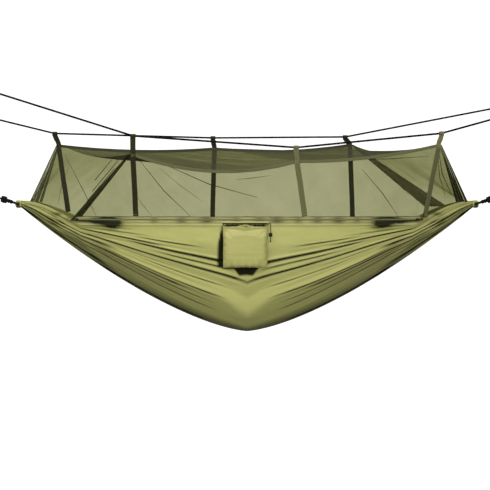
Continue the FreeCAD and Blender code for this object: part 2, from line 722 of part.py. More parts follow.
def pocket_hanging_tape():
    """The tape that sews the pocket to the hammock, just above the back of its mouth."""
    low = dim("pocket_top") + 1.5 * dim("layer_gap")
    high = low + dim("hanging_tape_height")
    y = dim("tape_thickness") + 2 * dim("layer_gap") - dim("pocket_back_y")
    half = dim("pocket_width") / 2
    columns = []
    for x in (dim("pocket_x") - half, dim("pocket_x") + half):
        columns.append([Vector(x, y, low), Vector(x, y, high)])
    feature("pocket_hanging_tape", strip(columns, Vector(0, -dim("tape_thickness"), 0)))


def cord_run():
    """Where the drawcord hangs, in the pocket's frame: just beyond the pocket's right-hand side."""
    x = dim("pocket_width") / 2 + dim("lock_radius") + dim("pocket_wall")
    return Vector(x, -dim("pocket_depth") / 2, 0)


def drawcord():
    """Round the inside of the pocket's mouth, out at its right-hand side, and down through the cord lock."""
    inset = dim("pocket_wall") + dim("drawcord_radius") + dim("layer_gap")
    top = Z_AXIS * (dim("drawcord_radius") + dim("layer_gap"))
    side = dim("pocket_width") / 2 - inset
    back, front = -inset, inset - dim("pocket_depth")
    points = [
        cord_run() - Z_AXIS * (dim("lock_drop") + dim("tail_length")),
        cord_run() + top,
        Vector(side, front, 0) + top,
        Vector(-side, front, 0) + top,
        Vector(-side, back, 0) + top,
        Vector(side, back, 0) + top,
    ]
    cord = rod_chain(points, dim("drawcord_radius"))
    knot = Part.makeSphere(2.2 * dim("drawcord_radius"), points[0])
    feature("pocket_drawcord", cord.fuse(knot).removeSplitter(), pocket_frame())


def lock_placement():
    """Local Z is the button's axis, which points out of the near side; the drawcord runs along local Y."""
    middle = cord_run() - Z_AXIS * dim("lock_drop")
    return pocket_frame().multiply(Placement(middle, Rotation(X_AXIS, 90)))


def cord_lock():
    """A barrel with a sprung button, both crossed by the drawcord."""
    barrel = new_body("cord_lock_barrel", lock_placement())
    outline = new_sketch(barrel, "XY_Plane", "-Dims.lock_length / 2")
    circle(outline, "0", "0", "Dims.lock_radius")
    pad(barrel, outline, "Dims.lock_length")
    bore = new_sketch(barrel, "XY_Plane", "-Dims.lock_length / 2 + Dims.lock_floor")
    circle(bore, "0", "0", "Dims.button_radius + Dims.button_play")
    doc.recompute()
    pocket(barrel, bore, "Dims.lock_length", turned=True)
    cross = new_sketch(barrel, "XZ_Plane")
    circle(cross, "0", "0", "Dims.lock_hole_radius")
    pocket(barrel, cross, "4 * Dims.lock_radius", midplane=True)
    button = new_body("cord_lock_button", lock_placement())
    foot = "-Dims.lock_length / 2 + Dims.lock_floor + Dims.button_travel + Dims.spring_floor"
    stem = new_sketch(button, "XY_Plane", foot)
    circle(stem, "0", "0", "Dims.button_radius")
    pad(button, stem, "Dims.button_length")
    slot = new_sketch(button, "XZ_Plane")
    half = "Dims.lock_hole_radius"
    rectangle(slot, f"-{half}", half, f"-{half}", f"{half} + Dims.button_travel")
    pocket(button, slot, "4 * Dims.button_radius", midplane=True)


def helix_spring(label, radius, wire, pitch, height, placement):
    path = Part.makeHelix(pitch, height, radius)
    section = Part.Wire(Part.makeCircle(wire, Vector(radius, 0, 0), Y_AXIS))
    coil = Part.Wire(path).makePipeShell([section], True, True)
    return feature(label, coil, placement)


def lock_spring():
    """The spring under the cord lock's button."""
    wire = dim("lock_spring_wire")
    room = dim("button_travel") + dim("spring_floor")
    floor = -dim("lock_length") / 2 + dim("lock_floor")
    seat = Placement(Vector(0, 0, floor + 1.5 * wire), Rotation())
    place = lock_placement().multiply(seat)
    radius, pitch = dim("lock_spring_radius"), dim("lock_spring_pitch")
    helix_spring("cord_lock_spring", radius, wire, pitch, room - 3 * wire, place)


# ---------------------------------------------------------------- the ends


def end_frame(end, distance=0.0):
    """On the suspension line, at a distance from the channel: local X outwards along it, local Z up."""
    turn = Rotation(Z_AXIS, 0 if end == RIGHT else 180)
    turn = turn.multiply(Rotation(Y_AXIS, -dim("suspension_angle")))
    channel = Vector(end * dim("channel_x"), 0, dim("channel_height"))
    return Placement(channel + turn.multVec(X_AXIS * distance), turn)


def end_channel(end):
    """The sewn channel at a gathered end: a sleeve across the hammock with the end cord in it."""
    half = dim("channel_length") / 2
    start = Vector(end * dim("channel_x"), -half, dim("channel_height"))
    place = Placement(start, Rotation(X_AXIS, -90))
    sleeve = cylinder(f"{END_NAME[end]}_sleeve", "Dims.channel_radius", "Dims.channel_length", place)
    bore = cylinder(f"{END_NAME[end]}_bore", "Dims.channel_bore", "Dims.channel_length", place)
    cut = doc.addObject("Part::Cut", f"{END_NAME[end]}_channel")
    cut.Base, cut.Tool = sleeve, bore
    keep(cut, f"{END_NAME[end]}_end_channel")


def knot_wraps(middle):
    """The turns of cord round the knot, and the core that they hold."""
    turn_radius = dim("end_cord_radius")
    pitch = 2 * turn_radius - dim("knot_bite")
    count = round(dim("knot_wraps"))
    length = pitch * (count - 1)
    ring_radius = dim("knot_radius") - turn_radius
    core = Part.makeCylinder(ring_radius, length, Vector(middle - length / 2, 0, 0), X_AXIS)
    turns = []
    for i in range(count):
        centre = Vector(middle - length / 2 + i * pitch, 0, 0)
        turns.append(Part.makeTorus(ring_radius, turn_radius, centre, X_AXIS))
    return [core] + turns


def end_cord(end):
    """One loop of cord: through the channel, then a knot, then the eye that holds the carabiner."""
    half_channel = dim("channel_length") / 2 + dim("end_cord_radius") + dim("cord_clearance")
    knot = dim("knot_distance")
    arc_middle = dim("eye_distance") - dim("eye_half_width")
    wide, narrow = dim("eye_half_width"), dim("end_cord_radius") - dim("strand_bite")
    strands = []
    for hand in (-1, 1):
        points = [
            Vector(0, 0, 0),
            Vector(0, hand * half_channel, 0),
            Vector(dim("channel_radius") + dim("lead_out"), hand * half_channel, 0),
            Vector(knot, hand * narrow, 0),
            Vector(knot + dim("knot_radius"), hand * narrow, 0),
            Vector(arc_middle - dim("eye_shoulder"), hand * wide, 0),
            Vector(arc_middle, hand * wide, 0),
        ]
        strands.append(rod_chain(points, dim("end_cord_radius")))
    bend = Part.makeTorus(wide, dim("end_cord_radius"), Vector(arc_middle, 0, 0), Z_AXIS)
    keep_side = Part.makeBox(4 * wide, 6 * wide, 4 * wide, Vector(arc_middle, -3 * wide, -2 * wide))
    shape = strands[0].fuse([strands[1], bend.common(keep_side), *knot_wraps(knot)]).removeSplitter()
    feature(f"{END_NAME[end]}_end_cord", shape, end_frame(end))


def clip_frame(end):
    """The carabiner's frame: an oval bar with a gap for the gate and a tongue for the gate's pin."""
    body = new_body(f"{END_NAME[end]}_carabiner_frame", end_frame(end, dim("eye_distance")))
    first_bow = "(Dims.clip_inner_radius - Dims.clip_seat)"
    second_bow = f"({first_bow} + Dims.clip_bow_spacing)"
    outline = new_sketch(body, "XZ_Plane")
    stadium(outline, first_bow, second_bow, "Dims.clip_inner_radius + Dims.clip_bar")
    stadium(outline, first_bow, second_bow, "Dims.clip_inner_radius")
    pad(body, outline, "Dims.clip_bar", midplane=True)
    doc.recompute()
    rounding = body.newObject("PartDesign::Fillet", body.Name + "_fillet")
    bar = body.Tip if body.Tip is not rounding else rounding.BaseFeature
    flat = [abs(edge.tangentAt(edge.FirstParameter).y) < 0.5 for edge in bar.Shape.Edges]
    rounding.Base = (bar, [f"Edge{i + 1}" for i, is_flat in enumerate(flat) if is_flat])
    rounding.setExpression("Radius", "Dims.clip_fillet")
    doc.recompute()
    low = "Dims.clip_inner_radius - Dims.cut_over"
    high = "Dims.clip_inner_radius + Dims.clip_bar + Dims.cut_over"
    gap = new_sketch(body, "XZ_Plane")
    nose = "Dims.gate_pin_x + Dims.gate_length + Dims.nose_gap"
    rectangle(gap, "Dims.gate_pin_x + Dims.gate_root", nose, low, high)
    pocket(body, gap, "4 * Dims.clip_bar", midplane=True)
    half_tongue = "Dims.tongue_thickness / 2"
    for face_low, face_high in ((half_tongue, "Dims.clip_bar"), ("-Dims.clip_bar", f"-{half_tongue}")):
        side_cut = new_sketch(body, "XY_Plane", low)
        back, front = "Dims.gate_pin_x - Dims.tongue_back", "Dims.gate_pin_x + Dims.tongue_front"
        rectangle(side_cut, back, front, face_low, face_high)
        pocket(body, side_cut, "Dims.clip_bar + 2 * Dims.cut_over", turned=True)
    pin_hole = new_sketch(body, "XZ_Plane")
    circle(pin_hole, "Dims.gate_pin_x", "Dims.clip_inner_radius + Dims.clip_bar / 2", "Dims.gate_pin_radius")
    pocket(body, pin_hole, "4 * Dims.clip_bar", midplane=True)


def gate_frame(end):
    """At the gate's pin: local X towards the nose."""
    height = dim("clip_inner_radius") + dim("clip_bar") / 2
    pin = Placement(Vector(dim("gate_pin_x"), 0, height), Rotation())
    return end_frame(end, dim("eye_distance")).multiply(pin)


def clip_gate(end):
    """The gate: a round bar, slotted over the frame's tongue, with a blind bore for its spring."""
    body = new_body(f"{END_NAME[end]}_carabiner_gate", gate_frame(end))
    section = new_sketch(body, "YZ_Plane", "-Dims.gate_root")
    circle(section, "0", "0", "Dims.clip_bar / 2 - Dims.gate_inset")
    pad(body, section, "Dims.gate_length + Dims.gate_root")
    doc.recompute()
    slot = new_sketch(body, "XZ_Plane")
    rectangle(slot, "-Dims.gate_slot_back", "Dims.gate_slot_front", "-Dims.clip_bar", "Dims.clip_bar")
    pocket(body, slot, "Dims.tongue_thickness + 2 * Dims.tongue_play", midplane=True)
    eye = new_sketch(body, "XZ_Plane")
    circle(eye, "0", "0", "Dims.gate_pin_radius + Dims.gate_pin_play")
    pocket(body, eye, "4 * Dims.clip_bar", midplane=True)
    bore = new_sketch(body, "YZ_Plane", "Dims.spring_bore_start")
    circle(bore, "0", "0", "Dims.gate_spring_radius + Dims.gate_spring_wire + Dims.spring_bore_play")
    pocket(body, bore, "Dims.spring_bore_length", turned=True)


def gate_pin(end):
    """The pin that the gate turns on, fixed in the frame's tongue."""
    pin_length = dim("clip_bar") - 2 * dim("gate_pin_inset")
    start = Placement(Vector(0, pin_length / 2, 0), Rotation(X_AXIS, 90))
    place = gate_frame(end).multiply(start)
    radius, length = "Dims.gate_pin_radius - Dims.gate_pin_fit", "Dims.clip_bar - 2 * Dims.gate_pin_inset"
    pin = cylinder(f"{END_NAME[end]}_pin", radius, length, place)
    keep(pin, f"{END_NAME[end]}_gate_pin")


def gate_spring(end):
    """The spring inside the gate."""
    seat = Placement(Vector(dim("gate_spring_seat"), 0, 0), Rotation(Y_AXIS, 90))
    place = gate_frame(end).multiply(seat)
    radius, wire = dim("gate_spring_radius"), dim("gate_spring_wire")
    pitch, length = dim("gate_spring_pitch"), dim("gate_spring_length")
    helix_spring(f"{END_NAME[end]}_gate_spring", radius, wire, pitch, length, place)


# ---------------------------------------------------------------- the whole hammock


def build():
    body_fabric()
    top_panel()
    for side in (NEAR, FAR):
        edge_hem(side)
        side_panel(side)
        top_tape(side)
        ridge_cord(side)
    for row in STRAPS:
        strap(row)
    zip_parts()
    pocket_bag()
    pocket_hanging_tape()
    drawcord()
    cord_lock()
    lock_spring()
    for end in (LEFT, RIGHT):
        end_panel(end)
        zip_slider(end)
        zip_pull(end)
        zip_stop(end)
        end_channel(end)
        end_cord(end)
        clip_frame(end)
        clip_gate(end)
        gate_pin(end)
        gate_spring(end)


def check_and_export():
    """Stops on any failed object or bad shape, then writes one STEP file for each sub-part."""
    doc.recompute()
    problems = []
    for obj in doc.Objects:
        if "Invalid" in obj.State or "Error" in obj.State:
            problems.append(f"{obj.Label}: {obj.State}")
    for name in labels:
        shape = doc.getObject(name).Shape
        if shape.isNull() or not shape.isValid() or not shape.Solids or shape.Volume <= 0:
            problems.append(f"{doc.getObject(name).Label}: bad shape")
    if problems:
        raise RuntimeError("; ".join(problems))
    os.makedirs("parts", exist_ok=True)
    for name in labels:
        obj = doc.getObject(name)
        obj.Shape.exportStep(f"parts/{obj.Label}.step")


build()
check_and_export()
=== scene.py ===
"""Camping hammock with an insect-net canopy: the visual model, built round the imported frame.

Metres, in the frame's own axes: +X along the hammock to its right-hand end, -Y to the near side, +Z up.
Every wander has its own fixed seed, so each run gives the same model.
"""
import json
import math

import bpy
import numpy as np
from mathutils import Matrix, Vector


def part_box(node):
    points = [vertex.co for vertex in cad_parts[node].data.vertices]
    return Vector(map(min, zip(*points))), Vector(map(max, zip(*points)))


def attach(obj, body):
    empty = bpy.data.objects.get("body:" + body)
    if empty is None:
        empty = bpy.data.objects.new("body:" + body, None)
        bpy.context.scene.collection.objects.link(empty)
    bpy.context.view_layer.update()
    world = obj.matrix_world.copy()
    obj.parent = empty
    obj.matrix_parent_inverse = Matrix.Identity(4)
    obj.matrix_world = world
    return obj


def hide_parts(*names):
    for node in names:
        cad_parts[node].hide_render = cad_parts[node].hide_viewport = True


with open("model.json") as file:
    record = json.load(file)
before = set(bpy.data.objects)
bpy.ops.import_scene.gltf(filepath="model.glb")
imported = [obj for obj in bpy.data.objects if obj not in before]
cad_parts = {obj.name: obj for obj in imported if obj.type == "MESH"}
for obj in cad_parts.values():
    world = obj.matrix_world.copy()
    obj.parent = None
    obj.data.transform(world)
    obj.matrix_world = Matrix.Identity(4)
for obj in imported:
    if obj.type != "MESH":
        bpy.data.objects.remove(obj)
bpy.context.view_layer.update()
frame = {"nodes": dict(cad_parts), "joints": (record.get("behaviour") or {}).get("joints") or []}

NEAR, FAR = -1, 1
LEFT, RIGHT = -1, 1
SIDE_NAME = {NEAR: "near", FAR: "far"}
END_NAME = {LEFT: "left", RIGHT: "right"}
PLACES = ("left", "middle", "right")
TAU = 2 * math.pi


# ---------------------------------------------------------------- sizes read from the frame


def node_points(node):
    """The corner points of a CAD node's mesh, as an array."""
    return np.array([v.co for v in frame["nodes"][node].data.vertices], float)


def joint(name):
    """The frame's joint of that name."""
    return next(j for j in frame["joints"] if j["name"] == name)


HALF_SPAN, HALF_WIDTH, TIP_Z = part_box("body_fabric")[1]
# Half width and depth of the gathered cloth at a tip. The long edges are level as far out as LEVEL_HALF.
BUNDLE_HALF = 0.022
BUNDLE_DEPTH = 0.034
HEM_HEIGHT = 0.014
EDGE_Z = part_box("near_edge_hem")[0].z + HEM_HEIGHT
LEVEL_HALF = 0.8
ZIP_HALF = 0.83
CLOTH_THICKNESS = 0.001
# How steeply the keel rises towards the ends, and the cloth towards its edges.
KEEL_POWER = 1.47
BOWL_POWER = 2.2
# Seen from above, each long edge is an arc through both tips.
ARC_RADIUS = (HALF_SPAN**2 + (HALF_WIDTH - BUNDLE_HALF) ** 2) / (2 * (HALF_WIDTH - BUNDLE_HALF))
ARC_CENTRE = ARC_RADIUS - HALF_WIDTH


def edge_y(x, stand_off=0.0):
    """Distance of a long edge of the cloth from the middle plane."""
    return np.sqrt((ARC_RADIUS + stand_off) ** 2 - np.asarray(x, float) ** 2) - ARC_CENTRE


def edge_z(x):
    """Height of a long edge of the cloth."""
    share = np.clip((np.abs(x) - LEVEL_HALF) / (HALF_SPAN - LEVEL_HALF), 0, 1)
    return EDGE_Z + (TIP_Z - EDGE_Z) * np.sin(share * math.pi / 2) ** 1.2


def keel_z(x):
    """Height of the cloth's underside in the middle plane."""
    return (TIP_Z - BUNDLE_DEPTH) * (np.abs(x) / HALF_SPAN) ** KEEL_POWER


def edge_path(side, x, stand_off, z):
    """A path beside a long edge at heights z, and the outward direction at each of its points."""
    path = np.stack(np.broadcast_arrays(x, side * edge_y(x, stand_off), z), axis=1)
    return path, unit(np.stack([x, path[:, 1] + side * ARC_CENTRE, 0 * x], axis=1))


# ---------------------------------------------------------------- small sums


def smooth(low, high, value):
    """A smooth step from 0 at low to 1 at high."""
    t = np.clip((value - low) / (high - low), 0, 1)
    return t * t * (3 - 2 * t)


def wobble(values, seed, scale=1.0):
    """A smooth repeatable wander between about -1 and 1 along values."""
    values = np.asarray(values, float) * scale
    waves = np.random.default_rng(seed).uniform(0, TAU, 4)
    total = np.sin(values + waves[0]) + 0.6 * np.sin(2.3 * values + waves[1])
    total += 0.4 * np.sin(4.1 * values + waves[2]) + 0.3 * np.sin(7.7 * values + waves[3])
    return total / 2.3


def blob(x, y, cx, cy, rx, ry):
    """A soft spot of height 1 around (cx, cy)."""
    return np.exp(-(((x - cx) / rx) ** 2) - ((y - cy) / ry) ** 2)


def between(a, b, share):
    """What lies a share of the way from a to b."""
    return a * (1 - share) + b * share


def spread(spots, density, count):
    """Places along spots, closer together where the density is high."""
    run = np.concatenate([[0], np.cumsum(0.5 * (density[1:] + density[:-1]))])
    return np.interp(np.linspace(0, run[-1], count), run, spots)


def unit(v):
    """Vectors of the same directions and length 1."""
    return v / np.maximum(np.linalg.norm(v, axis=-1, keepdims=True), 1e-9)


def columns_of(*parts):
    """Points, or UVs, from their separate values."""
    return np.stack(np.broadcast_arrays(*parts), axis=-1)


def lengths_along(points):
    """Distance along a path to each of its points."""
    steps = np.linalg.norm(np.diff(points, axis=0), axis=1)
    return np.concatenate([[0], np.cumsum(steps)])


def rounded_path(points, count, radius):
    """A path of evenly spaced points through others, whose corners are eased over about radius."""
    points = np.asarray(points, float)
    run = lengths_along(points)
    spots = np.linspace(0, run[-1], count)
    path = np.stack([np.interp(spots, run, points[:, k]) for k in range(3)], axis=1)
    step = lengths_along(path)[-1] / (count - 1)
    for _ in range(max(1, int((radius / step) ** 2))):
        path[1:-1] = 0.25 * path[:-2] + 0.5 * path[1:-1] + 0.25 * path[2:]
    return path


# ---------------------------------------------------------------- mesh builders


def finish_piece(obj, material, slot, *nodes, body="hammock", smooth_shade=True):
    """Gives a new piece its material and its body, and hides the CAD nodes it stands for. The slot is not
    used.
    """
    obj.data.materials.clear()
    obj.data.materials.append(material)
    if smooth_shade:
        obj.data.polygons.foreach_set("use_smooth", [True] * len(obj.data.polygons))
    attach(obj, body)
    if nodes:
        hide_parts(*nodes)


def point_values(mesh, values):
    """Writes named values, one for each point, onto a mesh."""
    for key, numbers in values.items():
        attribute = mesh.attributes.new(key, "FLOAT", "POINT")
        attribute.data.foreach_set("value", np.asarray(numbers, np.float32).ravel())


def mesh_object(name, verts, faces, uv=None, values=None):
    """A mesh object from points and faces, with one UV for each point, in metres, and named point values."""
    mesh = bpy.data.meshes.new(name)
    mesh.from_pydata([tuple(v) for v in verts], [], [tuple(int(i) for i in f) for f in faces])
    if uv is not None:
        layer = mesh.uv_layers.new(name="UVMap")
        corner = np.zeros(len(mesh.loops), np.int32)
        mesh.loops.foreach_get("vertex_index", corner)
        layer.data.foreach_set("uv", np.asarray(uv, np.float32)[corner].ravel())
    point_values(mesh, values or {})
    mesh.update()
    obj = bpy.data.objects.new(name, mesh)
    bpy.context.scene.collection.objects.link(obj)
    return obj


def grid_faces(rows, columns, wrap=False):
    """Quads of a grid of points, rows by columns; wrap joins the last column to the first."""
    across = columns if wrap else columns - 1
    i, j = np.meshgrid(np.arange(rows - 1), np.arange(across), indexing="ij")
    a = i * columns + j
    b = i * columns + (j + 1) % columns
    return np.stack([a, b, b + columns, a + columns], axis=-1).reshape(-1, 4)


def grid_object(name, points, uv, values=None):
    """A sheet from a (rows, columns, 3) array."""
    faces = grid_faces(*points.shape[:2])
    return mesh_object(name, points.reshape(-1, 3), faces, uv.reshape(-1, 2), values)


def merged(name, *parts):
    """One object from several (points, faces, uv) parts."""
    verts, faces, uvs, count = [], [], [], 0
    for points, quads, uv in parts:
        verts.append(points)
        uvs.append(uv)
        faces.extend((np.asarray(f) + count) for f in quads)
        count += len(points)
    return mesh_object(name, np.vstack(verts), faces, np.vstack(uvs))


def thicken(obj, thickness):
    """Gives a sheet its thickness, half to each side."""
    solid = obj.modifiers.new("thickness", "SOLIDIFY")
    solid.thickness = thickness
    solid.offset = 0


def capped(rings, count):
    """Faces of a row of closed rings of count points, with both ends shut."""
    faces = [list(q) for q in grid_faces(rings, count, wrap=True)]
    faces.append(list(range(count))[::-1])
    faces.append([(rings - 1) * count + k for k in range(count)])
    return faces


def tube(path, radius, sides=8):
    """A round cord along a path, as a (points, faces, uv) part. Radius may vary along it."""
    path = np.asarray(path, float)
    along = unit(np.gradient(path, axis=0))
    radius = np.broadcast_to(radius, len(path))
    normal = np.zeros_like(path)
    guide = np.array([0.0, 0.0, 1.0]) if abs(along[0][2]) < 0.9 else np.array([0.0, 1.0, 0.0])
    previous = unit(guide - along[0] * guide.dot(along[0]))
    for k, tangent in enumerate(along):
        previous = unit(previous - tangent * previous.dot(tangent))
        normal[k] = previous
    binormal = np.cross(along, normal)
    turn = np.linspace(0, TAU, sides, endpoint=False)
    ring = np.cos(turn)[None, :, None] * normal[:, None] + np.sin(turn)[None, :, None] * binormal[:, None]
    points = (path[:, None] + ring * radius[:, None, None]).reshape(-1, 3)
    uv = columns_of(lengths_along(path)[:, None], turn[None, :] / TAU).reshape(-1, 2)
    return points, capped(len(path), sides), uv


def ribbon(path, width_dir, face_dir, width, thickness):
    """A flat tape along a path, as a part. Its edges are slightly rounded. UV is across, along, in metres."""
    path = np.asarray(path, float)
    wide = np.broadcast_to(np.asarray(width_dir, float), path.shape)
    out = np.broadcast_to(np.asarray(face_dir, float), path.shape)
    h, t = width / 2, thickness / 2
    profile = [(-h, 0.0), (-h + t, t), (-h / 2, t), (0, t), (h / 2, t), (h - t, t), (h, 0.0)]
    profile += [(h - t, -t), (h / 2, -t), (0, -t), (-h / 2, -t), (-h + t, -t)]
    points = np.stack([path + wide * a + out * b for a, b in profile], axis=1)
    across = np.array([a for a, _ in profile])
    uv = columns_of(across[None, :], lengths_along(path)[:, None])
    return points.reshape(-1, 3), capped(len(path), len(profile)), uv.reshape(-1, 2)


# ---------------------------------------------------------------- materials


class Graph:
    """A short way to write shader nodes."""

    def __init__(self, owner, output):
        owner.use_nodes = True
        self.owner = owner
        self.tree = owner.node_tree
        self.tree.nodes.clear()
        self.output = self.tree.nodes.new(output)

    def add(self, kind, inputs=None, **settings):
        node = self.tree.nodes.new("ShaderNode" + kind)
        for key, value in settings.items():
            setattr(node, key, value)
        for key, value in (inputs or {}).items():
            self.put(node.inputs[key], value)
        return node

    def put(self, socket, value):
        if isinstance(value, bpy.types.NodeSocket):
            self.tree.links.new(value, socket)
        elif isinstance(value, (tuple, list)) and len(value) == 3 and socket.type == "RGBA":
            socket.default_value = (*value, 1)
        else:
            socket.default_value = value

    def math(self, operation, a, b=0.0, clamp=False):
        return self.add("Math", {0: a, 1: b}, operation=operation, use_clamp=clamp).outputs[0]

    def times(self, a, b):
        return self.math("MULTIPLY", a, b)

    def plus(self, a, b):
        return self.math("ADD", a, b)

    def minus(self, a, b, clamp=False):
        return self.math("SUBTRACT", a, b, clamp)

    def absolute(self, a):
        return self.math("ABSOLUTE", a)

    def mix(self, share, a, b):
        return self.add("Mix", {0: share, 6: a, 7: b}, data_type="RGBA").outputs[2]

    def ramp(self, value, low, high, bottom=0.0, top=1.0):
        inputs = {"Value": value, "From Min": low, "From Max": high, "To Min": bottom, "To Max": top}
        return self.add("MapRange", inputs, clamp=True).outputs[0]

    def noise(self, vector, scale, detail=3.0):
        inputs = {"Vector": vector, "Scale": scale, "Detail": detail, "Roughness": 0.5}
        return self.add("TexNoise", inputs).outputs["Fac"]

    def scaled(self, vector, scale):
        return self.add("Mapping", {"Vector": vector, "Scale": scale}).outputs[0]

    def uv(self):
        return self.add("TexCoord").outputs["UV"]

    def place(self):
        return self.add("TexCoord").outputs["Object"]

    def value(self, name):
        return self.add("Attribute", attribute_name=name).outputs["Fac"]

    def split(self, vector):
        return self.add("SeparateXYZ", {"Vector": vector}).outputs

    def wave(self, value, pitch):
        """A wave between 0 and 1 that repeats every pitch."""
        return self.half(self.times(value, TAU / pitch))

    def half(self, turns):
        """A wave between 0 and 1 from an angle."""
        inputs = {0: self.math("SINE", turns), 1: 0.5, 2: 0.5}
        return self.add("Math", inputs, operation="MULTIPLY_ADD").outputs[0]

    def weave(self, pitch):
        """The height of an over-and-under plain weave, from UV in metres."""
        parts = self.split(self.uv())
        return self.times(self.wave(parts[0], pitch), self.wave(parts[1], pitch))

    def bump(self, height, strength, distance):
        inputs = {"Height": height, "Strength": strength, "Distance": distance}
        return self.add("Bump", inputs).outputs[0]

    def surface(self, colour, roughness, normal, sheen=0.0, metallic=0.0, specular=0.5, sheen_tint=None):
        inputs = {"Base Color": colour, "Roughness": roughness, "Metallic": metallic, "Normal": normal}
        inputs.update({"Sheen Weight": sheen, "Sheen Roughness": 0.4, "Specular IOR Level": specular})
        if sheen_tint is not None:
            inputs["Sheen Tint"] = sheen_tint
        return self.add("BsdfPrincipled", inputs).outputs[0]

    def done(self, shader):
        self.put(self.output.inputs["Surface"], shader)
        return self.owner


def new_material(name):
    return Graph(bpy.data.materials.new(name), "ShaderNodeOutputMaterial")


def shade(colour, share, extra=0.0):
    """A lighter or darker version of a colour."""
    return tuple(min(1.0, c * share + extra) for c in colour)


def cloth_material(name, colour, deep):
    """Satin nylon: weave, soft mottling, faint sheen, and painted shade, painted shadow and painted highlight
    from point values on the mesh.
    """
    g = new_material(name)
    place = g.place()
    broad = g.noise(place, 5.0, 4.0)
    fine = g.noise(place, 60.0)
    streaks = g.noise(g.scaled(place, (3.0, 40.0, 60.0)), 1.0, 4.0)
    mottled = tuple(c * k for c, k in zip(colour, (0.9, 0.93, 0.84)))
    tone = g.mix(g.ramp(broad, 0.3, 0.7), colour, mottled)
    tone = g.mix(g.ramp(streaks, 0.45, 0.75, 0.0, 0.2), tone, deep)
    tone = g.mix(g.ramp(fine, 0.35, 0.7, 0.0, 0.1), tone, deep)
    # Painted light and shade: a lighter colour for painted highlights, the deep colour for painted shade,
    # near black for painted shadow.
    tone = g.mix(g.value("ridge"), tone, shade(colour, 1.35))
    tone = g.mix(g.value("valley"), tone, deep)
    tone = g.mix(g.value("shadow"), tone, (0.008, 0.009, 0.004))
    cells = g.weave(0.0011)
    tone = g.mix(g.ramp(cells, 0.2, 0.8, 0.0, 0.12), tone, deep)
    normal = g.bump(g.plus(g.times(cells, 0.4), fine), 0.25, 0.0012)
    roughness = g.ramp(broad, 0.3, 0.7, 0.46, 0.6)
    # Sheen and gloss fade where shadow is painted.
    lit = g.minus(1.0, g.value("shadow"), clamp=True)
    sheen, gloss = g.times(lit, 0.25), g.times(lit, 0.35)
    return g.done(g.surface(tone, roughness, normal, sheen, specular=gloss, sheen_tint=(0.9, 0.9, 0.5)))


def webbing_material(name, colour, light, rib_pitch=0.0021):
    """Woven tape: ribs across it, darker edges, a line of stitches along each edge, fuzz and wear, and
    painted shadow from a point value.
    """
    edge_start, edge_stop = 0.0095, 0.0125
    stitch_line, stitch_half, stitch_pitch = 0.0092, 0.0005, 0.004
    g = new_material(name)
    parts = g.split(g.uv())
    across, along = g.absolute(parts[0]), parts[1]
    rib = g.wave(along, rib_pitch)
    herring = g.wave(g.plus(along, across), rib_pitch * 2.2)
    noise = g.noise(g.place(), 90.0, 4.0)
    tone = g.mix(g.ramp(rib, 0.1, 0.9, 0.0, 0.55), light, colour)
    tone = g.mix(g.times(herring, 0.3), tone, colour)
    tone = g.mix(g.ramp(noise, 0.35, 0.75, 0.0, 0.35), tone, light)
    edge = g.ramp(across, edge_start, edge_stop)
    tone = g.mix(g.times(edge, 0.5), tone, shade(colour, 0.4))
    line = g.math("LESS_THAN", g.absolute(g.minus(across, stitch_line)), stitch_half)
    stitch = g.times(line, g.math("GREATER_THAN", g.wave(along, stitch_pitch), 0.35))
    tone = g.mix(g.times(stitch, 0.7), tone, shade(light, 2))
    # Painted shadow, carried over from the near edge of the cloth.
    tone = g.mix(g.value("shadow"), tone, (0.012, 0.014, 0.006))
    height = g.plus(g.times(rib, 0.6), g.times(herring, 0.3))
    height = g.plus(height, g.times(stitch, 0.8))
    return g.done(g.surface(tone, 0.85, g.bump(height, 0.6, 0.0008), 0.05, specular=0.15))


def braid_material(name, colour, pitch=0.006):
    """Braided cord: crossing strands from UV along and round the cord."""
    g = new_material(name)
    parts = g.split(g.uv())
    along, round_turns = g.times(parts[0], TAU / pitch), g.times(parts[1], TAU * 3)
    height = g.math("MAXIMUM", g.half(g.plus(along, round_turns)), g.half(g.minus(along, round_turns)))
    tone = g.mix(g.ramp(height, 0.3, 0.95), shade(colour, 0.35), colour)
    fuzz = g.noise(g.place(), 400.0, 2.0)
    tone = g.mix(g.ramp(fuzz, 0.5, 0.8, 0.0, 0.3), tone, shade(colour, 2.2))
    return g.done(g.surface(tone, 0.85, g.bump(height, 0.7, 0.0008), specular=0.1))


def net_material(name, thread, pass_through, coverage):
    """Knitted net: light passes through tinted, and less of it the more edge-on the net is seen."""
    angle_power, most_layers = 0.62, 5.0
    g = new_material(name)
    geometry = g.add("NewGeometry").outputs
    dot = g.add("VectorMath", {0: geometry["Normal"], 1: geometry["Incoming"]}, operation="DOT_PRODUCT")
    facing = g.math("MAXIMUM", g.absolute(dot.outputs["Value"]), most_layers ** (-1.0 / angle_power))
    layers = g.math("POWER", facing, -angle_power)
    layers = g.times(layers, g.ramp(g.noise(g.place(), 9.0), 0.3, 0.7, 0.94, 1.07))
    through = g.add("CombineColor", {k: g.math("POWER", v, layers) for k, v in enumerate(pass_through)})
    covered = g.minus(1.0, g.math("POWER", 1.0 - coverage, layers))
    cells = g.weave(0.0016)
    tone = g.mix(g.ramp(cells, 0.1, 0.9), thread, shade(thread, 1.6))
    solid = g.surface(tone, 0.9, g.bump(cells, 0.3, 0.0005), specular=0.05)
    clear = g.add("BsdfTransparent", {"Color": through.outputs[0]}).outputs[0]
    return g.done(g.add("MixShader", {0: covered, 1: clear, 2: solid}).outputs[0])


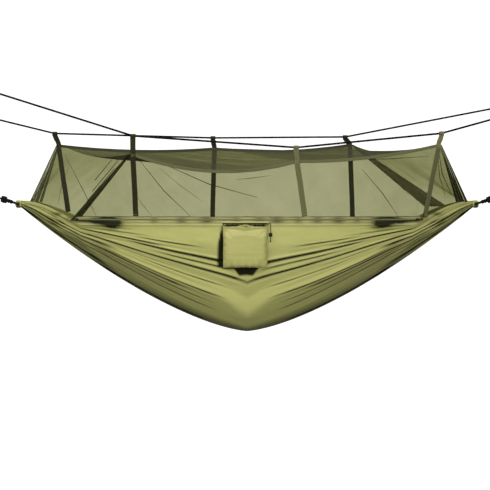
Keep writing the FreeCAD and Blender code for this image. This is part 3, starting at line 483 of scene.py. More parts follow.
def plastic_material(name, colour, worn, specular=0.5):
    """Moulded plastic: fine grain, slightly lighter worn edges."""
    g = new_material(name)
    place = g.place()
    fine = g.noise(place, 900.0)
    broad = g.noise(place, 60.0)
    point = g.add("NewGeometry").outputs["Pointiness"]
    tone = g.mix(g.ramp(broad, 0.3, 0.7, 0.0, 0.4), colour, shade(colour, 1.6))
    tone = g.mix(g.ramp(point, 0.52, 0.62, 0.0, worn), tone, shade(colour, 4, 0.02))
    rough = g.ramp(fine, 0.3, 0.7, 0.62, 0.82)
    return g.done(g.surface(tone, rough, g.bump(fine, 0.25, 0.0002), specular=specular))


def metal_material(name, colour, roughness, worn=(0.35, 0.35, 0.36), metallic=0.85):
    """Coated metal: brushed grain, bright wear on its edges, faint scratches."""
    g = new_material(name)
    place = g.place()
    brushed = g.noise(g.scaled(place, (60.0, 900.0, 900.0)), 1.0)
    patches = g.noise(place, 120.0, 4.0)
    point = g.add("NewGeometry").outputs["Pointiness"]
    wear = g.times(g.ramp(point, 0.53, 0.62), g.ramp(patches, 0.45, 0.6))
    tone = g.mix(g.ramp(patches, 0.35, 0.7, 0.0, 0.35), colour, shade(colour, 1.8))
    tone = g.mix(g.times(wear, 0.7), tone, worn)
    rough = g.ramp(brushed, 0.3, 0.7, roughness - 0.07, roughness + 0.12)
    return g.done(g.surface(tone, rough, g.bump(brushed, 0.15, 0.0002), metallic=metallic))


CLOTH = cloth_material("nylon_cloth", (0.48, 0.468, 0.158), (0.2, 0.2, 0.065))
POCKET_CLOTH = cloth_material("pocket_cloth", (0.455, 0.435, 0.145), (0.19, 0.185, 0.062))
HEM = cloth_material("hem_cloth", (0.42, 0.41, 0.15), (0.16, 0.16, 0.055))
NET = net_material("insect_net", (0.058, 0.058, 0.034), (0.68, 0.685, 0.51), 0.225)
END_NET = net_material("end_net", (0.07, 0.07, 0.042), (0.73, 0.735, 0.58), 0.15)
DARK_WEBBING = webbing_material("dark_webbing", (0.012, 0.012, 0.003), (0.026, 0.025, 0.008))
OLIVE_WEBBING = webbing_material("olive_webbing", (0.065, 0.065, 0.024), (0.14, 0.14, 0.06))
BINDING = webbing_material("binding_tape", (0.07, 0.07, 0.028), (0.12, 0.12, 0.055), 0.0016)
ZIP_TAPE = webbing_material("zip_tape", (0.27, 0.265, 0.1), (0.36, 0.355, 0.14), 0.0013)
BLACK_CORD = braid_material("black_cord", (0.007, 0.007, 0.008))
RIDGE_CORD = braid_material("ridge_cord", (0.004, 0.004, 0.0045), 0.004)
DRAWCORD = braid_material("drawcord", (0.008, 0.008, 0.006), 0.003)
COIL = plastic_material("zip_coil", (0.15, 0.145, 0.055), 0.0)
LOCK = plastic_material("lock_plastic", (0.004, 0.004, 0.004), 0.1, 0.2)
ENAMEL = metal_material("zip_enamel", (0.012, 0.012, 0.009), 0.5, (0.05, 0.05, 0.045), 0.3)
STEEL = metal_material("spring_steel", (0.5, 0.5, 0.51), 0.25)
ALLOY = metal_material("carabiner_metal", (0.018, 0.018, 0.02), 0.3)


# ---------------------------------------------------------------- the sling

# Folds that run towards the ends: place across the cloth, depth, half width, darkness of their painted shade,
# shadow and highlight, first and last X.
FOLDS = [
    (0.935, 0.0020, 0.0050, 0.30, 0.50, 0.95),
    (0.885, 0.0030, 0.0050, 0.45, 0.44, 0.66),
    (0.860, 0.0035, 0.0050, 0.65, 0.18, 0.42),
    (0.824, 0.0070, 0.0060, 0.95, 0.36, 0.74),
    (0.793, 0.0100, 0.0080, 1.00, -1.0, 0.46),
    (0.756, 0.0045, 0.0055, 0.65, 0.02, 0.34),
    (0.708, 0.0090, 0.0070, 1.00, -1.0, 0.86),
    (0.660, 0.0030, 0.0050, 0.35, 0.32, 0.52),
    (0.622, 0.0040, 0.0055, 0.50, 0.06, 0.40),
    (0.604, 0.0095, 0.0100, 1.00, 0.60, 1.30),
    (0.520, 0.0045, 0.0060, 0.65, 0.08, 0.56),
    (0.480, 0.0090, 0.0080, 1.00, 0.26, 1.30),
    (0.430, 0.0040, 0.0055, 0.55, 0.14, 0.72),
    (0.395, 0.0040, 0.0055, 0.45, 0.80, 1.30),
    (0.348, 0.0045, 0.0060, 0.65, 0.12, 0.80),
    (0.275, 0.0040, 0.0060, 0.55, 0.70, 1.05),
    (0.208, 0.0055, 0.0065, 0.90, 0.62, 1.30),
    (0.148, 0.0055, 0.0070, 0.95, 0.16, 0.64),
    (0.095, 0.0030, 0.0080, 0.55, 0.40, 0.90),
    (0.045, 0.0030, 0.0080, 0.45, 0.55, 1.10),
]
PLEATS = 13
# X of the small tucks along the near edge.
TUCKS = (-0.44, -0.31, -0.19, -0.05, 0.06, 0.14, 0.24, 0.33, 0.43, 0.52)
# The dented hollow under the pocket, and the painted shadow in it, in a strip at its left and in a line along
# its bottom.
HOLLOW_TOP, HOLLOW_TALL = 0.332, 0.046
STRIP_LEFT, STRIP_LOW, STRIP_HIGH = -0.1175, 0.335, 0.552
UNDER_LINE = 0.328


def bowl_share(s, x):
    """Where a line of the cloth lies across the bowl: the folds climb towards the ends."""
    reach = np.abs(x)
    rise = 0.13 * (1 - np.exp(-reach / 0.08)) + 0.16 * reach + 0.34 * reach**2
    rise = rise * (1 - 0.47 * smooth(0.80, 1.0, reach))
    climb = rise * (1 - np.abs(s)) * smooth(0, 0.35, np.abs(s))
    return np.sign(s) * (np.abs(s) + climb)


def bowl_point(s, x):
    """A point of the smooth sling."""
    v = bowl_share(s, x)
    z = keel_z(x) + (edge_z(x) - keel_z(x)) * np.abs(v) ** BOWL_POWER
    return columns_of(x, v * edge_y(x), z)


def edge_tuck_shade(x, z):
    """Painted shade under the tucks of the near edge: two broad patches and a row of small ones."""
    total = np.zeros(np.broadcast(x, z).shape)
    up = z - EDGE_Z
    for hand in (LEFT, RIGHT):
        patch = 1.1 * blob(x, up, hand * 0.665, 0.012, 0.064, 0.026)
        patch += 0.9 * blob(x, up, hand * 0.638, -0.012, 0.036, 0.018)
        patch += 0.8 * blob(x, up, hand * 0.725, 0.006, 0.040, 0.010)
        ragged = 0.9 + 0.35 * wobble(x * 60 + z * 120, 41 + hand)
        total += np.clip(patch * ragged * 1.5, 0, 0.97)
        total += 1.2 * blob(x, up, hand * 0.79, 0.008, 0.060, 0.006)
        total += 0.75 * blob(x, up, hand * 0.92, 0.040, 0.030, 0.009)
        total += 0.60 * blob(x, up, hand * 0.86, 0.022, 0.018, 0.008)
    for k, spot in enumerate(TUCKS):
        total += (0.6 + 0.15 * (k % 3)) * blob(x, up, spot, 0.012, 0.020 + 0.007 * (k % 3), 0.014)
    return np.clip(total, 0, 1)


class Sheet:
    """The sling's grid, how far its cloth is pushed out, and how much painted shade, painted shadow and
    painted highlight it takes.
    """

    def __init__(self):
        half_spots = np.linspace(0, 1, 400)
        density = np.full_like(half_spots, 1.0)
        for place, _, width, _, _, _ in FOLDS:
            density += 4.0 * np.exp(-(((half_spots - place) / (3.5 * width)) ** 2))
        half = spread(half_spots, density, 190)
        spots = np.linspace(-HALF_SPAN, HALF_SPAN, 800)
        behind_pocket = np.exp(-(((spots + 0.015) / 0.14) ** 4))
        density = 1.0 + smooth(0.8, HALF_SPAN, np.abs(spots)) + 3.5 * behind_pocket
        stations = spread(spots, density, 177)
        self.s, self.x = np.meshgrid(np.concatenate([-half[::-1], half[1:]]), stations)
        self.away, self.reach = np.abs(self.s), np.abs(self.x)
        self.near = self.s < 0
        self.points = bowl_point(self.s, self.x)
        self.z = self.points[..., 2]
        # Push moves the cloth; the other three are painted shade, painted shadow and painted highlight.
        self.push, self.valley, self.shadow, self.ridge = (np.zeros_like(self.s) for _ in range(4))

    def moved(self):
        """The grid's points, pushed out of the smooth sling."""
        out = unit(np.cross(np.gradient(self.points, axis=1), np.gradient(self.points, axis=0)))
        out *= np.sign(out[..., 2:3] * -1 + 1e-9)
        return self.points + out * self.push[..., None]


def add_folds(sheet):
    """The long folds, mirrored to all four quarters of the cloth, each with its own wander, with painted
    shade and painted shadow in each groove and painted highlight beside it.
    """
    away, reach = sheet.away, sheet.reach
    widen = 1.0 + 1.1 * smooth(0.45, 0.8, reach) + 1.3 * smooth(0.8, 1.05, reach)
    quarters = [(hand, side) for hand in (LEFT, RIGHT) for side in (NEAR, FAR)]
    for k, (place, depth, width, dark, start, stop) in enumerate(FOLDS):
        for hand, side in quarters:
            seed = 100 * k + 10 * (hand + 1) + side + 1
            here = (np.sign(sheet.x + 1e-9) == hand) * (np.sign(sheet.s) == side)
            wander = place + 0.004 * wobble(reach, seed, 3.1) * smooth(0.05, 0.4, reach)
            t = (away - wander) / (width * widen * (1.9 - place))
            grow = smooth(start, start + 0.14, reach) * smooth(stop + 0.14, stop, reach)
            if start < 0:
                grow = grow * (0.45 + 0.55 * smooth(0.0, 0.10, reach))
            grow = np.clip(grow * (0.85 + 0.3 * wobble(reach, seed + 5, 7.0)), 0, 1)
            groove = np.exp(-t * t)
            sheet.push += here * -depth * grow * (groove - 0.42 * np.exp(-((t / 2.8) ** 2)))
            # Painted shade along the groove, painted shadow in its core, painted highlight on both sides.
            sheet.valley += here * np.exp(-((t / 2.0) ** 2)) * grow * dark * 0.75
            sheet.shadow += here * np.exp(-((t / 1.05) ** 4)) * np.minimum(1.35 * grow * dark, 1)
            sheet.ridge += here * np.exp(-(((np.abs(t) - 2.4) / 0.9) ** 2)) * grow * dark


def add_pleats(sheet):
    """The gathered ends' pleats with painted shade and shadow in their troughs, fine bands of painted shade
    and highlight between the folds, and the puckers along both edges.
    """
    s, x, away, reach = sheet.s, sheet.x, sheet.away, sheet.reach
    girth = edge_y(x) * 2.4
    amplitude = np.minimum(0.20 * girth / PLEATS, 0.005) * smooth(0.45, 1.0, reach)
    wave = np.abs(np.sin(math.pi * PLEATS * bowl_share(s, x) + 1.6 * wobble(reach, 3, 2.0)))
    sheet.push += amplitude * (wave - 0.6)
    sheet.valley += (1 - wave) ** 2 * smooth(0.5, 0.95, reach) * 0.5
    sheet.shadow += (1 - wave) ** 6 * smooth(0.7, 1.0, reach) * 0.45
    bands = wobble(s * 55 + 1.3 * wobble(x, 5, 2.0), 6) + 0.6 * wobble(s * 130, 8)
    inner = smooth(0.9, 0.8, away)
    sheet.valley += np.clip(bands, 0, 1) * 0.45 * inner * smooth(0.05, 0.35, reach)
    sheet.ridge += np.clip(-bands, 0, 1) * 0.5 * inner * smooth(0.2, 0.45, reach)
    puckers = wobble(x, 21, 46.0) * 0.0011 + wobble(x, 22, 90.0) * 0.0006
    sheet.push += smooth(0.86, 0.93, away) * puckers * smooth(1.0, 0.96, away) * 0.8
    sheet.push += wobble(x * 6.0 + away * 14.0, 31) * 0.0016 * smooth(0.8, 0.95, away)


def add_pocket_shade(sheet):
    """What the pocket hides from the light: a hollow under it, a strip at its left, a line at its bottom."""
    x, z, near = sheet.x, sheet.z, sheet.near
    drop = (HOLLOW_TOP - z) / HOLLOW_TALL
    hollow = smooth(1.05, 0.90, drop) * smooth(-0.5, -0.2, drop)
    hollow = hollow * smooth(0.071 - 0.034 * drop, 0.062 - 0.034 * drop, np.abs(x + 0.005)) * near
    sheet.push -= 0.020 * hollow * blob(x, sheet.away, -0.007, 0.775, 0.05, 0.03)
    sheet.shadow += hollow
    sunk = smooth(STRIP_HIGH, STRIP_LOW, z)
    edge = STRIP_LEFT - 0.008 * smooth(0.0, 0.20, sunk) - 0.010 * smooth(0.1, 0.6, sunk)
    strip = smooth(edge - 0.010 * sunk - 0.002, edge + 0.002, x) * smooth(-0.085, -0.095, x)
    strip = strip * smooth(STRIP_LOW - 0.010, STRIP_LOW - 0.001, z)
    sheet.shadow += strip * smooth(STRIP_HIGH + 0.004, STRIP_HIGH - 0.004, z) * near
    line = smooth(0.004, 0.0, np.abs(z - UNDER_LINE) - 0.005)
    sheet.shadow += 0.9 * (line * smooth(-0.120, -0.110, x) * smooth(0.07, 0.03, x)) * near


def add_edge_shade(sheet):
    """The dents under the tucks of the near edge, and the painted shade under them."""
    for hand in (LEFT, RIGHT):
        dent = blob(sheet.x, sheet.z, hand * 0.67, EDGE_Z - 0.004, 0.075, 0.024)
        sheet.push -= 0.006 * dent * sheet.near
    sheet.shadow += edge_tuck_shade(sheet.x, sheet.z) * sheet.near


def add_underside_shade(sheet):
    """The lower half turns away from the light: painted shade below a brink, darkest at the keel and the
    tips, and painted highlight just above the brink and near the long edges.
    """
    away, reach = sheet.away, sheet.reach
    brink = 0.55 + 0.08 * smooth(0.55, 0.75, reach) - 0.03 * smooth(0.12, 0.0, reach)
    lower = smooth(brink, brink - 0.06 - 0.10 * smooth(0.16, 0.0, reach), away)
    depth = 0.42 + 0.10 * smooth(0.08, 0.2, reach) + 0.28 * smooth(0.2, 0.5, reach)
    depth = depth - 0.45 * smooth(0.62, 0.85, reach)
    sheet.valley += lower * smooth(0.22, 0.36, away) * depth
    sheet.valley += lower * smooth(0.36, 0.25, away) * 0.55 * smooth(0.3, 0.9, reach)
    sheet.ridge += (1 - lower) * smooth(brink + 0.11, brink + 0.06, away) * 0.7
    sheet.ridge += 0.35 * smooth(0.86, 0.90, away) * smooth(0.70, 0.5, reach)
    keel = smooth(0.29, 0.17, away) * smooth(1.10, 0.55, reach) * (1 - 0.45 * smooth(0.3, 0.7, reach))
    sheet.valley += 0.9 * keel
    sheet.shadow += (0.52 + 0.25 * smooth(0.20, 0.05, away)) * keel
    sheet.shadow += 0.9 * smooth(1.03, 1.07, reach) * smooth(0.34, 0.20, away)


def sling():
    """The hammock's cloth: one sheet, gathered at both ends, with its folds."""
    sheet = Sheet()
    for add in (add_folds, add_pleats, add_pocket_shade, add_edge_shade, add_underside_shade):
        add(sheet)
    sheet.push *= smooth(1.0, 0.985, sheet.away) * 0.9 + 0.1
    # The painted shade, painted shadow and painted highlight for the cloth's material.
    values = {
        "valley": np.clip(sheet.valley, 0, 1) * 0.85,
        "shadow": np.clip(sheet.shadow, 0, 1),
        "ridge": np.clip(sheet.ridge, 0, 1),
    }
    uv = np.stack([sheet.x, sheet.s * 0.75], axis=-1)
    obj = grid_object("body_cloth", sheet.moved(), uv, values)
    thicken(obj, CLOTH_THICKNESS)
    finish_piece(obj, CLOTH, "hammock_cloth", "body_fabric")


def paint_edge_shade(obj):
    """Carries the near edge's painted shade over a tape that lies along it."""
    points = np.array([v.co for v in obj.data.vertices], float)
    point_values(obj.data, {"shadow": edge_tuck_shade(points[:, 0], points[:, 2]) * (points[:, 1] < 0)})


def hem(side):
    """The folded hem along a long edge, with its small puckers."""
    node = f"{SIDE_NAME[side]}_edge_hem"
    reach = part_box(node)[1].x
    x = np.linspace(-reach, reach, 500)
    z = edge_z(x) - HEM_HEIGHT / 2 + 0.0004 * wobble(x, 61 + side, 45.0)
    path, out = edge_path(side, x, 0.0033 + 0.0004 * wobble(x, 51 + side, 60.0), z)
    wide = np.cross(unit(np.gradient(path, axis=0)), out)
    obj = merged(f"{SIDE_NAME[side]}_hem", ribbon(path, wide, out, HEM_HEIGHT, 0.0015))
    # Painted shade from the near edge, on the near hem only.
    paint_edge_shade(obj)
    finish_piece(obj, HEM, "hammock_cloth", node)


# ---------------------------------------------------------------- the net's outline

SIDE_PANEL = {NEAR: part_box("near_net_panel"), FAR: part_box("far_net_panel")}
CORNER_SEAMS = {(side, end): SIDE_PANEL[side][end > 0].x for side in SIDE_PANEL for end in END_NAME}
RIDGE_HALF = 0.45
# How far the left half of the far top edge is drawn above its CAD tape.
FAR_LIFT = 0.008
X_AXIS = np.array([1.0, 0, 0])


def strap_rows(side):
    """Foot and loop of the three straps on a side, from their CAD nodes."""
    rows = []
    for place in PLACES:
        points = node_points(f"{SIDE_NAME[side]}_strap_{place}")
        low, high = points[:, 2].min(), points[:, 2].max()
        foot = points[points[:, 2] < low + 0.002].mean(0)
        loop = points[points[:, 2] > high - 0.004].mean(0)
        loop[1:] = side * RIDGE_HALF, high - 0.010
        rows.append({"place": place, "foot": foot, "loop": loop})
    return rows


def top_line(side):
    """The net's long top edge from its tape's CAD node: shares 0 to 2 along it, their x and their z."""
    points = node_points(f"{SIDE_NAME[side]}_top_tape")
    keys = np.round(points[:, 0], 4)
    xs = np.unique(keys)
    top = np.array([points[keys == key][:, 2].max() for key in xs])
    if side == FAR:
        top += FAR_LIFT * smooth(0.25, 0.0, xs)
    return np.linspace(0, 2, len(xs)), xs, top


STRAPS = {side: strap_rows(side) for side in (NEAR, FAR)}
TOP_LINES = {side: top_line(side) for side in (NEAR, FAR)}


def top_edge(side, share, inset=0.0):
    """Points of a long top edge; share runs 0 to 2, from corner to corner through the middle strap."""
    knots, xs, zs = TOP_LINES[side]
    return columns_of(np.interp(share, knots, xs), side * (RIDGE_HALF - inset), np.interp(share, knots, zs))


def foot_line(side, x):
    """Points of the net's foot at x, on the cloth's edge or on the zip's upper tape."""
    zipped = (side == NEAR) & (np.abs(x) < ZIP_HALF)
    return columns_of(x, side * edge_y(x), edge_z(x) + np.where(zipped, 0.023, -0.003))


def side_station(side, t):
    """Foot and top of the long side at t: -1 is the left corner seam, 0 to 2 the straps, 3 the right seam."""
    feet = [row["foot"][0] for row in STRAPS[side]]
    feet = [CORNER_SEAMS[(side, LEFT)]] + feet + [CORNER_SEAMS[(side, RIGHT)]]
    foot = foot_line(side, np.interp(t, [-1, 0, 1, 2, 3], feet))
    return foot, top_edge(side, np.clip(t, 0, 2))


def net_sheet(name, foot, top, out, seed, node, material=NET, drape=0.006):
    """A net panel between two lines, slightly slack, with faint random creases."""
    w = np.linspace(0, 1, 40)[:, None, None]
    points = between(foot[None], top[None], w)
    w = w[..., 0]
    run = lengths_along(foot * 0.5 + top * 0.5)
    slack = np.sin(math.pi * w) * (-drape + 0.5 * drape * wobble(run, seed, 9.0)[None])
    ripple = wobble(run[None] * 26 + w * 7, seed + 1) * 0.0016 * np.sin(math.pi * w)
    points = points + np.array(out, float) * (slack + ripple)[..., None]
    uv = columns_of(run[None], w * np.linalg.norm(top - foot, axis=1)[None])
    finish_piece(grid_object(name, points, uv), material, "insect_net", node)


def side_net(side):
    """The net's long side, from seam to seam."""
    foot, top = side_station(side, np.linspace(-1, 3, 161))
    name = f"{SIDE_NAME[side]}_net"
    net_sheet(name, foot, top, (0, side, 0), 71 + side, f"{name}_panel")


def roof_point(share, w):
    """A point of the roof: share 0 to 2 along, w 0 at the near edge to 1 at the far edge."""
    point = between(top_edge(NEAR, share, 0.003), top_edge(FAR, share, 0.003), w[..., None])
    sag = 0.008 + (0.028 * smooth(0.35, 0.0, share) + 0.040 * smooth(1.75, 2.0, share))
    point[..., 2] -= sag * 4 * w * (1 - w)
    return point


def roof_net():
    """The roof: a skewed sheet with soft folds that fan out from its corners."""
    share, w = np.meshgrid(np.linspace(0, 2, 141), np.linspace(0, 1, 45))
    points = roof_point(share, w)
    ripple = wobble(share * 9 + w * 3, 81) * 0.004 + wobble(share * 25 - w * 8, 82) * 0.0015
    points[..., 2] += ripple * np.sin(math.pi * w)
    obj = grid_object("roof_net", points, points[..., :2])
    finish_piece(obj, NET, "insect_net", "top_net_panel")


def end_foot(end, share):
    """A point of an end panel's foot, which runs round the gathered end."""
    step, inset = end * 0.006, -0.003
    near_x = CORNER_SEAMS[(NEAR, end)] + step
    far_x = CORNER_SEAMS[(FAR, end)] + step
    tip_x = end * max(abs(near_x), abs(far_x))
    crossing = float(edge_y(tip_x, inset))
    lengths = [abs(tip_x - near_x), 2 * crossing, abs(tip_x - far_x)]
    run = share * sum(lengths)
    if run < lengths[0]:
        x = near_x + end * run
        y = -float(edge_y(x, inset))
    elif run <= lengths[0] + lengths[1]:
        x = tip_x
        y = run - lengths[0] - crossing
    else:
        x = tip_x - end * (run - lengths[0] - lengths[1])
        y = float(edge_y(x, inset))
    side = NEAR if run < lengths[0] else FAR
    return foot_line(side, x) * [1, 0, 1] + [0, y, 0]


def end_net(end):
    """The net's short side, from the roof's edge down round the gathered end."""
    share = np.linspace(0, 1, 81)
    foot = np.array([end_foot(end, k) for k in share])
    top = roof_point(np.full_like(share, 0.0 if end == LEFT else 2.0), share)
    top[:, 0] += end * 0.004
    name = f"{END_NAME[end]}_net"
    net_sheet(name, foot, top, (end, 0, 0), 91 + end, f"{name}_panel", END_NET, 0.008)


def gather_part(start, stop, across, out, widths, depth, folds):
    """Net bunched into sharp pleats between two points, as a part; widths are at start and stop."""
    turns = np.linspace(0, 1, folds * 6 + 1)
    along = np.linspace(0, 1, 25)
    centre = between(start[None], stop[None], along[:, None])
    width = between(*widths, along)
    overlap = np.sin(2 * TAU * folds * turns) * 0.35 / folds
    offset = (turns - 0.5 + overlap)[None] * width[:, None]
    lift = np.sin(TAU * folds * turns)[None] * depth * (0.4 + 0.6 * width / max(widths))[:, None]
    points = centre[:, None] + across * offset[..., None] + out * lift[..., None]
    uv = columns_of(offset, (np.linalg.norm(stop - start) * along)[:, None])
    return points.reshape(-1, 3), grid_faces(len(along), len(turns)), uv.reshape(-1, 2)


def on_side(side, t, w):
    """A point on a long side of the net: t along it, w from foot to top."""
    foot, top = side_station(side, np.array([t]))
    point = between(foot[0], top[0], w)
    point[1] += side * (0.002 - 0.006 * math.sin(math.pi * w))
    return point


def crease(side, start, stop, width):
    """A fine crease in a long side of the net, widest half-way between two (t, w) places on it."""
    a, b = on_side(side, *start), on_side(side, *stop)
    out = np.array([0, side * 1.0, 0])
    across = unit(np.cross(unit(b - a), out))
    middle = on_side(side, (start[0] + stop[0]) / 2, (start[1] + stop[1]) / 2)
    thin = width * 0.4
    return [
        gather_part(a, middle, across, out, (thin, width), 0.0025, 2),
        gather_part(middle, b, across, out, (width, thin), 0.0025, 2),
    ]


# Creases that run out from the straps' corners: first and last (t, w) on the side, and width.
CREASES = {
    NEAR: [
        ((0.02, 0.97), (0.33, 0.02), 0.0035),
        ((0.17, 0.98), (0.74, 0.41), 0.0040),
        ((0.16, 0.88), (0.41, 0.33), 0.0020),
        ((0.01, 0.33), (0.10, 0.02), 0.0020),
        ((0.52, 0.98), (0.84, 0.96), 0.0035),
        ((0.62, 0.80), (0.83, 0.82), 0.0025),
        ((1.95, 0.85), (1.35, 0.98), 0.0030),
        ((1.46, 0.80), (1.77, 0.02), 0.0035),
        ((1.60, 0.78), (1.84, 0.33), 0.0025),
        ((2.35, 0.92), (2.75, 0.15), 0.0040),
        ((2.25, 0.85), (2.55, 0.20), 0.0030),
    ],
    FAR: [
        ((0.03, 0.86), (0.20, 0.03), 0.0035),
        ((0.05, 0.70), (-0.30, 0.06), 0.0025),
    ],
}


def gathers():
    """The bunched net along the corner seams, and the creases that run out from the corners."""

    def bunch(side, start, stop, widths, depth, folds):
        y_out = np.array([0, side * 1.0, 0])
        parts[side].append(gather_part(start, stop, X_AXIS, y_out, widths, depth, folds))

    def seam(side, end, x_step=0.0):
        return foot_line(side, CORNER_SEAMS[(side, end)] + x_step)

    parts = {NEAR: [], FAR: []}
    corner = top_edge(NEAR, 0) + [-0.018, -0.002, -0.008]
    foot = seam(NEAR, LEFT, -0.012)
    bunch(NEAR, corner, foot, (0.014, 0.042), 0.006, 5)
    for shift, low, high in ((0.030, 0.45, 0.93), (0.062, 0.62, 0.97), (0.016, 0.30, 0.80)):
        start, stop = (between(foot, corner, w) - [shift, 0.004, 0] for w in (high, low))
        bunch(NEAR, start, stop, (0.003, 0.005), 0.0025, 2)
    corner = top_edge(NEAR, 2) + [0.010, -0.002, -0.004]
    bunch(NEAR, corner, seam(NEAR, RIGHT) - [0.010, 0, 0], (0.010, 0.060), 0.007, 4)
    corner = top_edge(FAR, 2) + [0.012, 0.002, -0.006]
    bunch(FAR, corner, seam(FAR, RIGHT) - [0.030, 0, 0], (0.016, 0.115), 0.008, 6)
    corner = top_edge(FAR, 0) + [-0.008, 0.002, -0.004]
    for k, reach in enumerate((-0.008, 0.015, 0.036)):
        start = corner + [0.004 * k - 0.003, 0, -0.004 * k]
        stop = seam(FAR, LEFT) + [reach, 0.004 * k, -0.002]
        bunch(FAR, start, stop, (0.006, 0.023 - 0.004 * k), 0.006, 3)
    for side, made in parts.items():
        for start, stop, width in CREASES[side]:
            made += crease(side, start, stop, width)
        finish_piece(merged(f"{SIDE_NAME[side]}_net_gathers", *made), NET, "insect_net")


# ---------------------------------------------------------------- tapes, straps and ridge cords

UP = np.array([0, 0, 1])
EYE_RADIUS = 0.0155
RIDGE_CORD_RADIUS = 0.0047


def top_tape(side):
    """The binding along the net's long top edge."""
    node = f"{SIDE_NAME[side]}_top_tape"
    low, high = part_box(node)
    height = 0.015
    points = top_edge(side, np.linspace(0, 2, 161))
    points[:, 1] = (low.y + high.y) / 2
    points[:, 2] -= height / 2
    part = ribbon(points, UP, (0, side, 0), height, abs(high.y - low.y))
    finish_piece(merged(f"{SIDE_NAME[side]}_top_binding", part), BINDING, "binding_tape", node)


def strap(side, share, row):
    """Webbing from the cloth's edge past the net's corner, round the ridge cord and back on itself."""
    thick, bend = 0.002, 0.0085
    corner, loop = top_edge(side, float(share)), row["loop"]
    y_out = side * (RIDGE_HALF + 0.006)
    turn = np.linspace(-0.5 * math.pi, 1.42 * math.pi, 30)[3:]
    ring = columns_of(loop[0], loop[1] + side * bend * np.cos(turn), loop[2] + bend * np.sin(turn))
    lead = [row["foot"], [corner[0], y_out, corner[2] - 0.018], [corner[0], y_out, corner[2]], ring[0]]
    down = unit(np.array([corner[0] - loop[0], 0.0, corner[2] - loop[2]]))
    tail = ring[-1] + down * np.linspace(0.003, 0.030, 8)[:, None]
    tail[:, 1] = np.linspace(ring[-1][1], side * (RIDGE_HALF + 0.0035), 8)
    path = np.vstack([rounded_path(lead, 70, 0.008), ring[1:], tail])
    path[:, 0] += 0.0009 * wobble(lengths_along(path), 101 + share + side, 14.0)
    along = unit(np.gradient(path, axis=0))
    wide = unit(X_AXIS - along * along[:, :1])
    width = 0.022 if (side, share) == (NEAR, 2) else 0.025
    part = ribbon(path, wide, np.cross(wide, along), width, thick)
    obj = merged(f"{SIDE_NAME[side]}_webbing_{row['place']}", part)
    material = OLIVE_WEBBING if side == NEAR and share > 0 else DARK_WEBBING
    finish_piece(obj, material, "webbing", f"{SIDE_NAME[side]}_strap_{row['place']}")


def bar_tacks(side):
    """The short zigzag seams that hold each strap to its corner and to the cloth's edge."""
    zig = np.linspace(-1, 1, 33)
    zag = 0.0012 * (np.arange(33) % 2 * 2 - 1)
    parts = []
    for share, row in enumerate(STRAPS[side]):
        corner, foot = top_edge(side, float(share)), row["foot"]
        y_tack = side * (RIDGE_HALF + 0.0074)
        spots = [(corner[0], y_tack, corner[2] - drop) for drop in (0.013, 0.005)]
        slope = (corner - foot) / np.linalg.norm(corner - foot)
        spots += [foot + slope * lift + np.array([0, side * 0.0016, 0]) for lift in (0.008, 0.020)]
        parts += [tube(columns_of(x + zig * 0.0095, y, z + zag), 0.00035, 5) for x, y, z in spots]
    finish_piece(merged(f"{SIDE_NAME[side]}_bar_tacks", *parts), HEM, "binding_tape")


def ridge_cord(side):
    """The cord through a side's three loops, slack by a hair, with a tied eye at each end."""
    node = f"{SIDE_NAME[side]}_ridge_cord"
    points = node_points(node)
    loops = [row["loop"] for row in STRAPS[side]]
    tied, eyes = [], []
    for end, nearest in ((LEFT, loops[0]), (RIGHT, loops[-1])):
        reach = end * points[:, 0]
        eye = points[reach > reach.max() - 0.045]
        centre = (eye.max(0) + eye.min(0)) / 2
        along = unit(centre - nearest)
        up = unit(np.cross(along, [0, 1, 0]))
        knot = centre - along * EYE_RADIUS * 1.25
        turn = np.linspace(-0.86 * math.pi, 0.86 * math.pi, 48)[:, None]
        loop = centre + EYE_RADIUS * (np.cos(turn) * along + np.sin(turn) * up)
        eyes.append(tube(rounded_path(np.vstack([knot, loop, knot]), 90, 0.003), RIDGE_CORD_RADIUS, 10))
        coil = np.linspace(0, TAU * 3, 60)[:, None]
        wrap = knot - along * np.linspace(-0.002, 0.013, 60)[:, None]
        wrap = wrap + 0.0038 * (np.cos(coil) * up + np.sin(coil) * np.cross(along, up))
        eyes.append(tube(wrap, RIDGE_CORD_RADIUS * 0.8, 8))
        tied.append(knot)
    line = tube(rounded_path([tied[0], *loops, tied[1]], 900, 0.006), RIDGE_CORD_RADIUS, 10)
    finish_piece(merged(f"{SIDE_NAME[side]}_ridge_line", line, *eyes), RIDGE_CORD, "black_cord", node)


# ---------------------------------------------------------------- the zip

COIL_DEPTH = 0.004
TOOTH_PITCH = 0.0022
# A tooth's outline as shares of its half height and half depth.
TOOTH = [(-0.9, -0.5), (-0.9, 0.5), (0.0, 1.0), (0.95, 0.75), (0.95, -0.75), (0.0, -1.0)]
TOOTH_FACES = [[k, (k + 1) % 6, 6 + (k + 1) % 6, 6 + k] for k in range(6)]
TOOTH_FACES += [[5, 4, 3, 2, 1, 0], [6, 7, 8, 9, 10, 11]]


def zip_tape(which):
    """The woven tape that carries one row of the coil."""
    node = f"zip_{which}_tape"
    low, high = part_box(node)
    x = np.linspace(-high.x, high.x, 401)
    front = -low.y - HALF_WIDTH
    path, out = edge_path(NEAR, x, front - 0.00075, (low.z + high.z) / 2)
    obj = merged(f"zip_tape_{which}", ribbon(path, UP, out, high.z - low.z, 0.0015))
    # Painted shade from the near edge runs on over the tape.
    paint_edge_shade(obj)
    finish_piece(obj, ZIP_TAPE, "binding_tape", node)


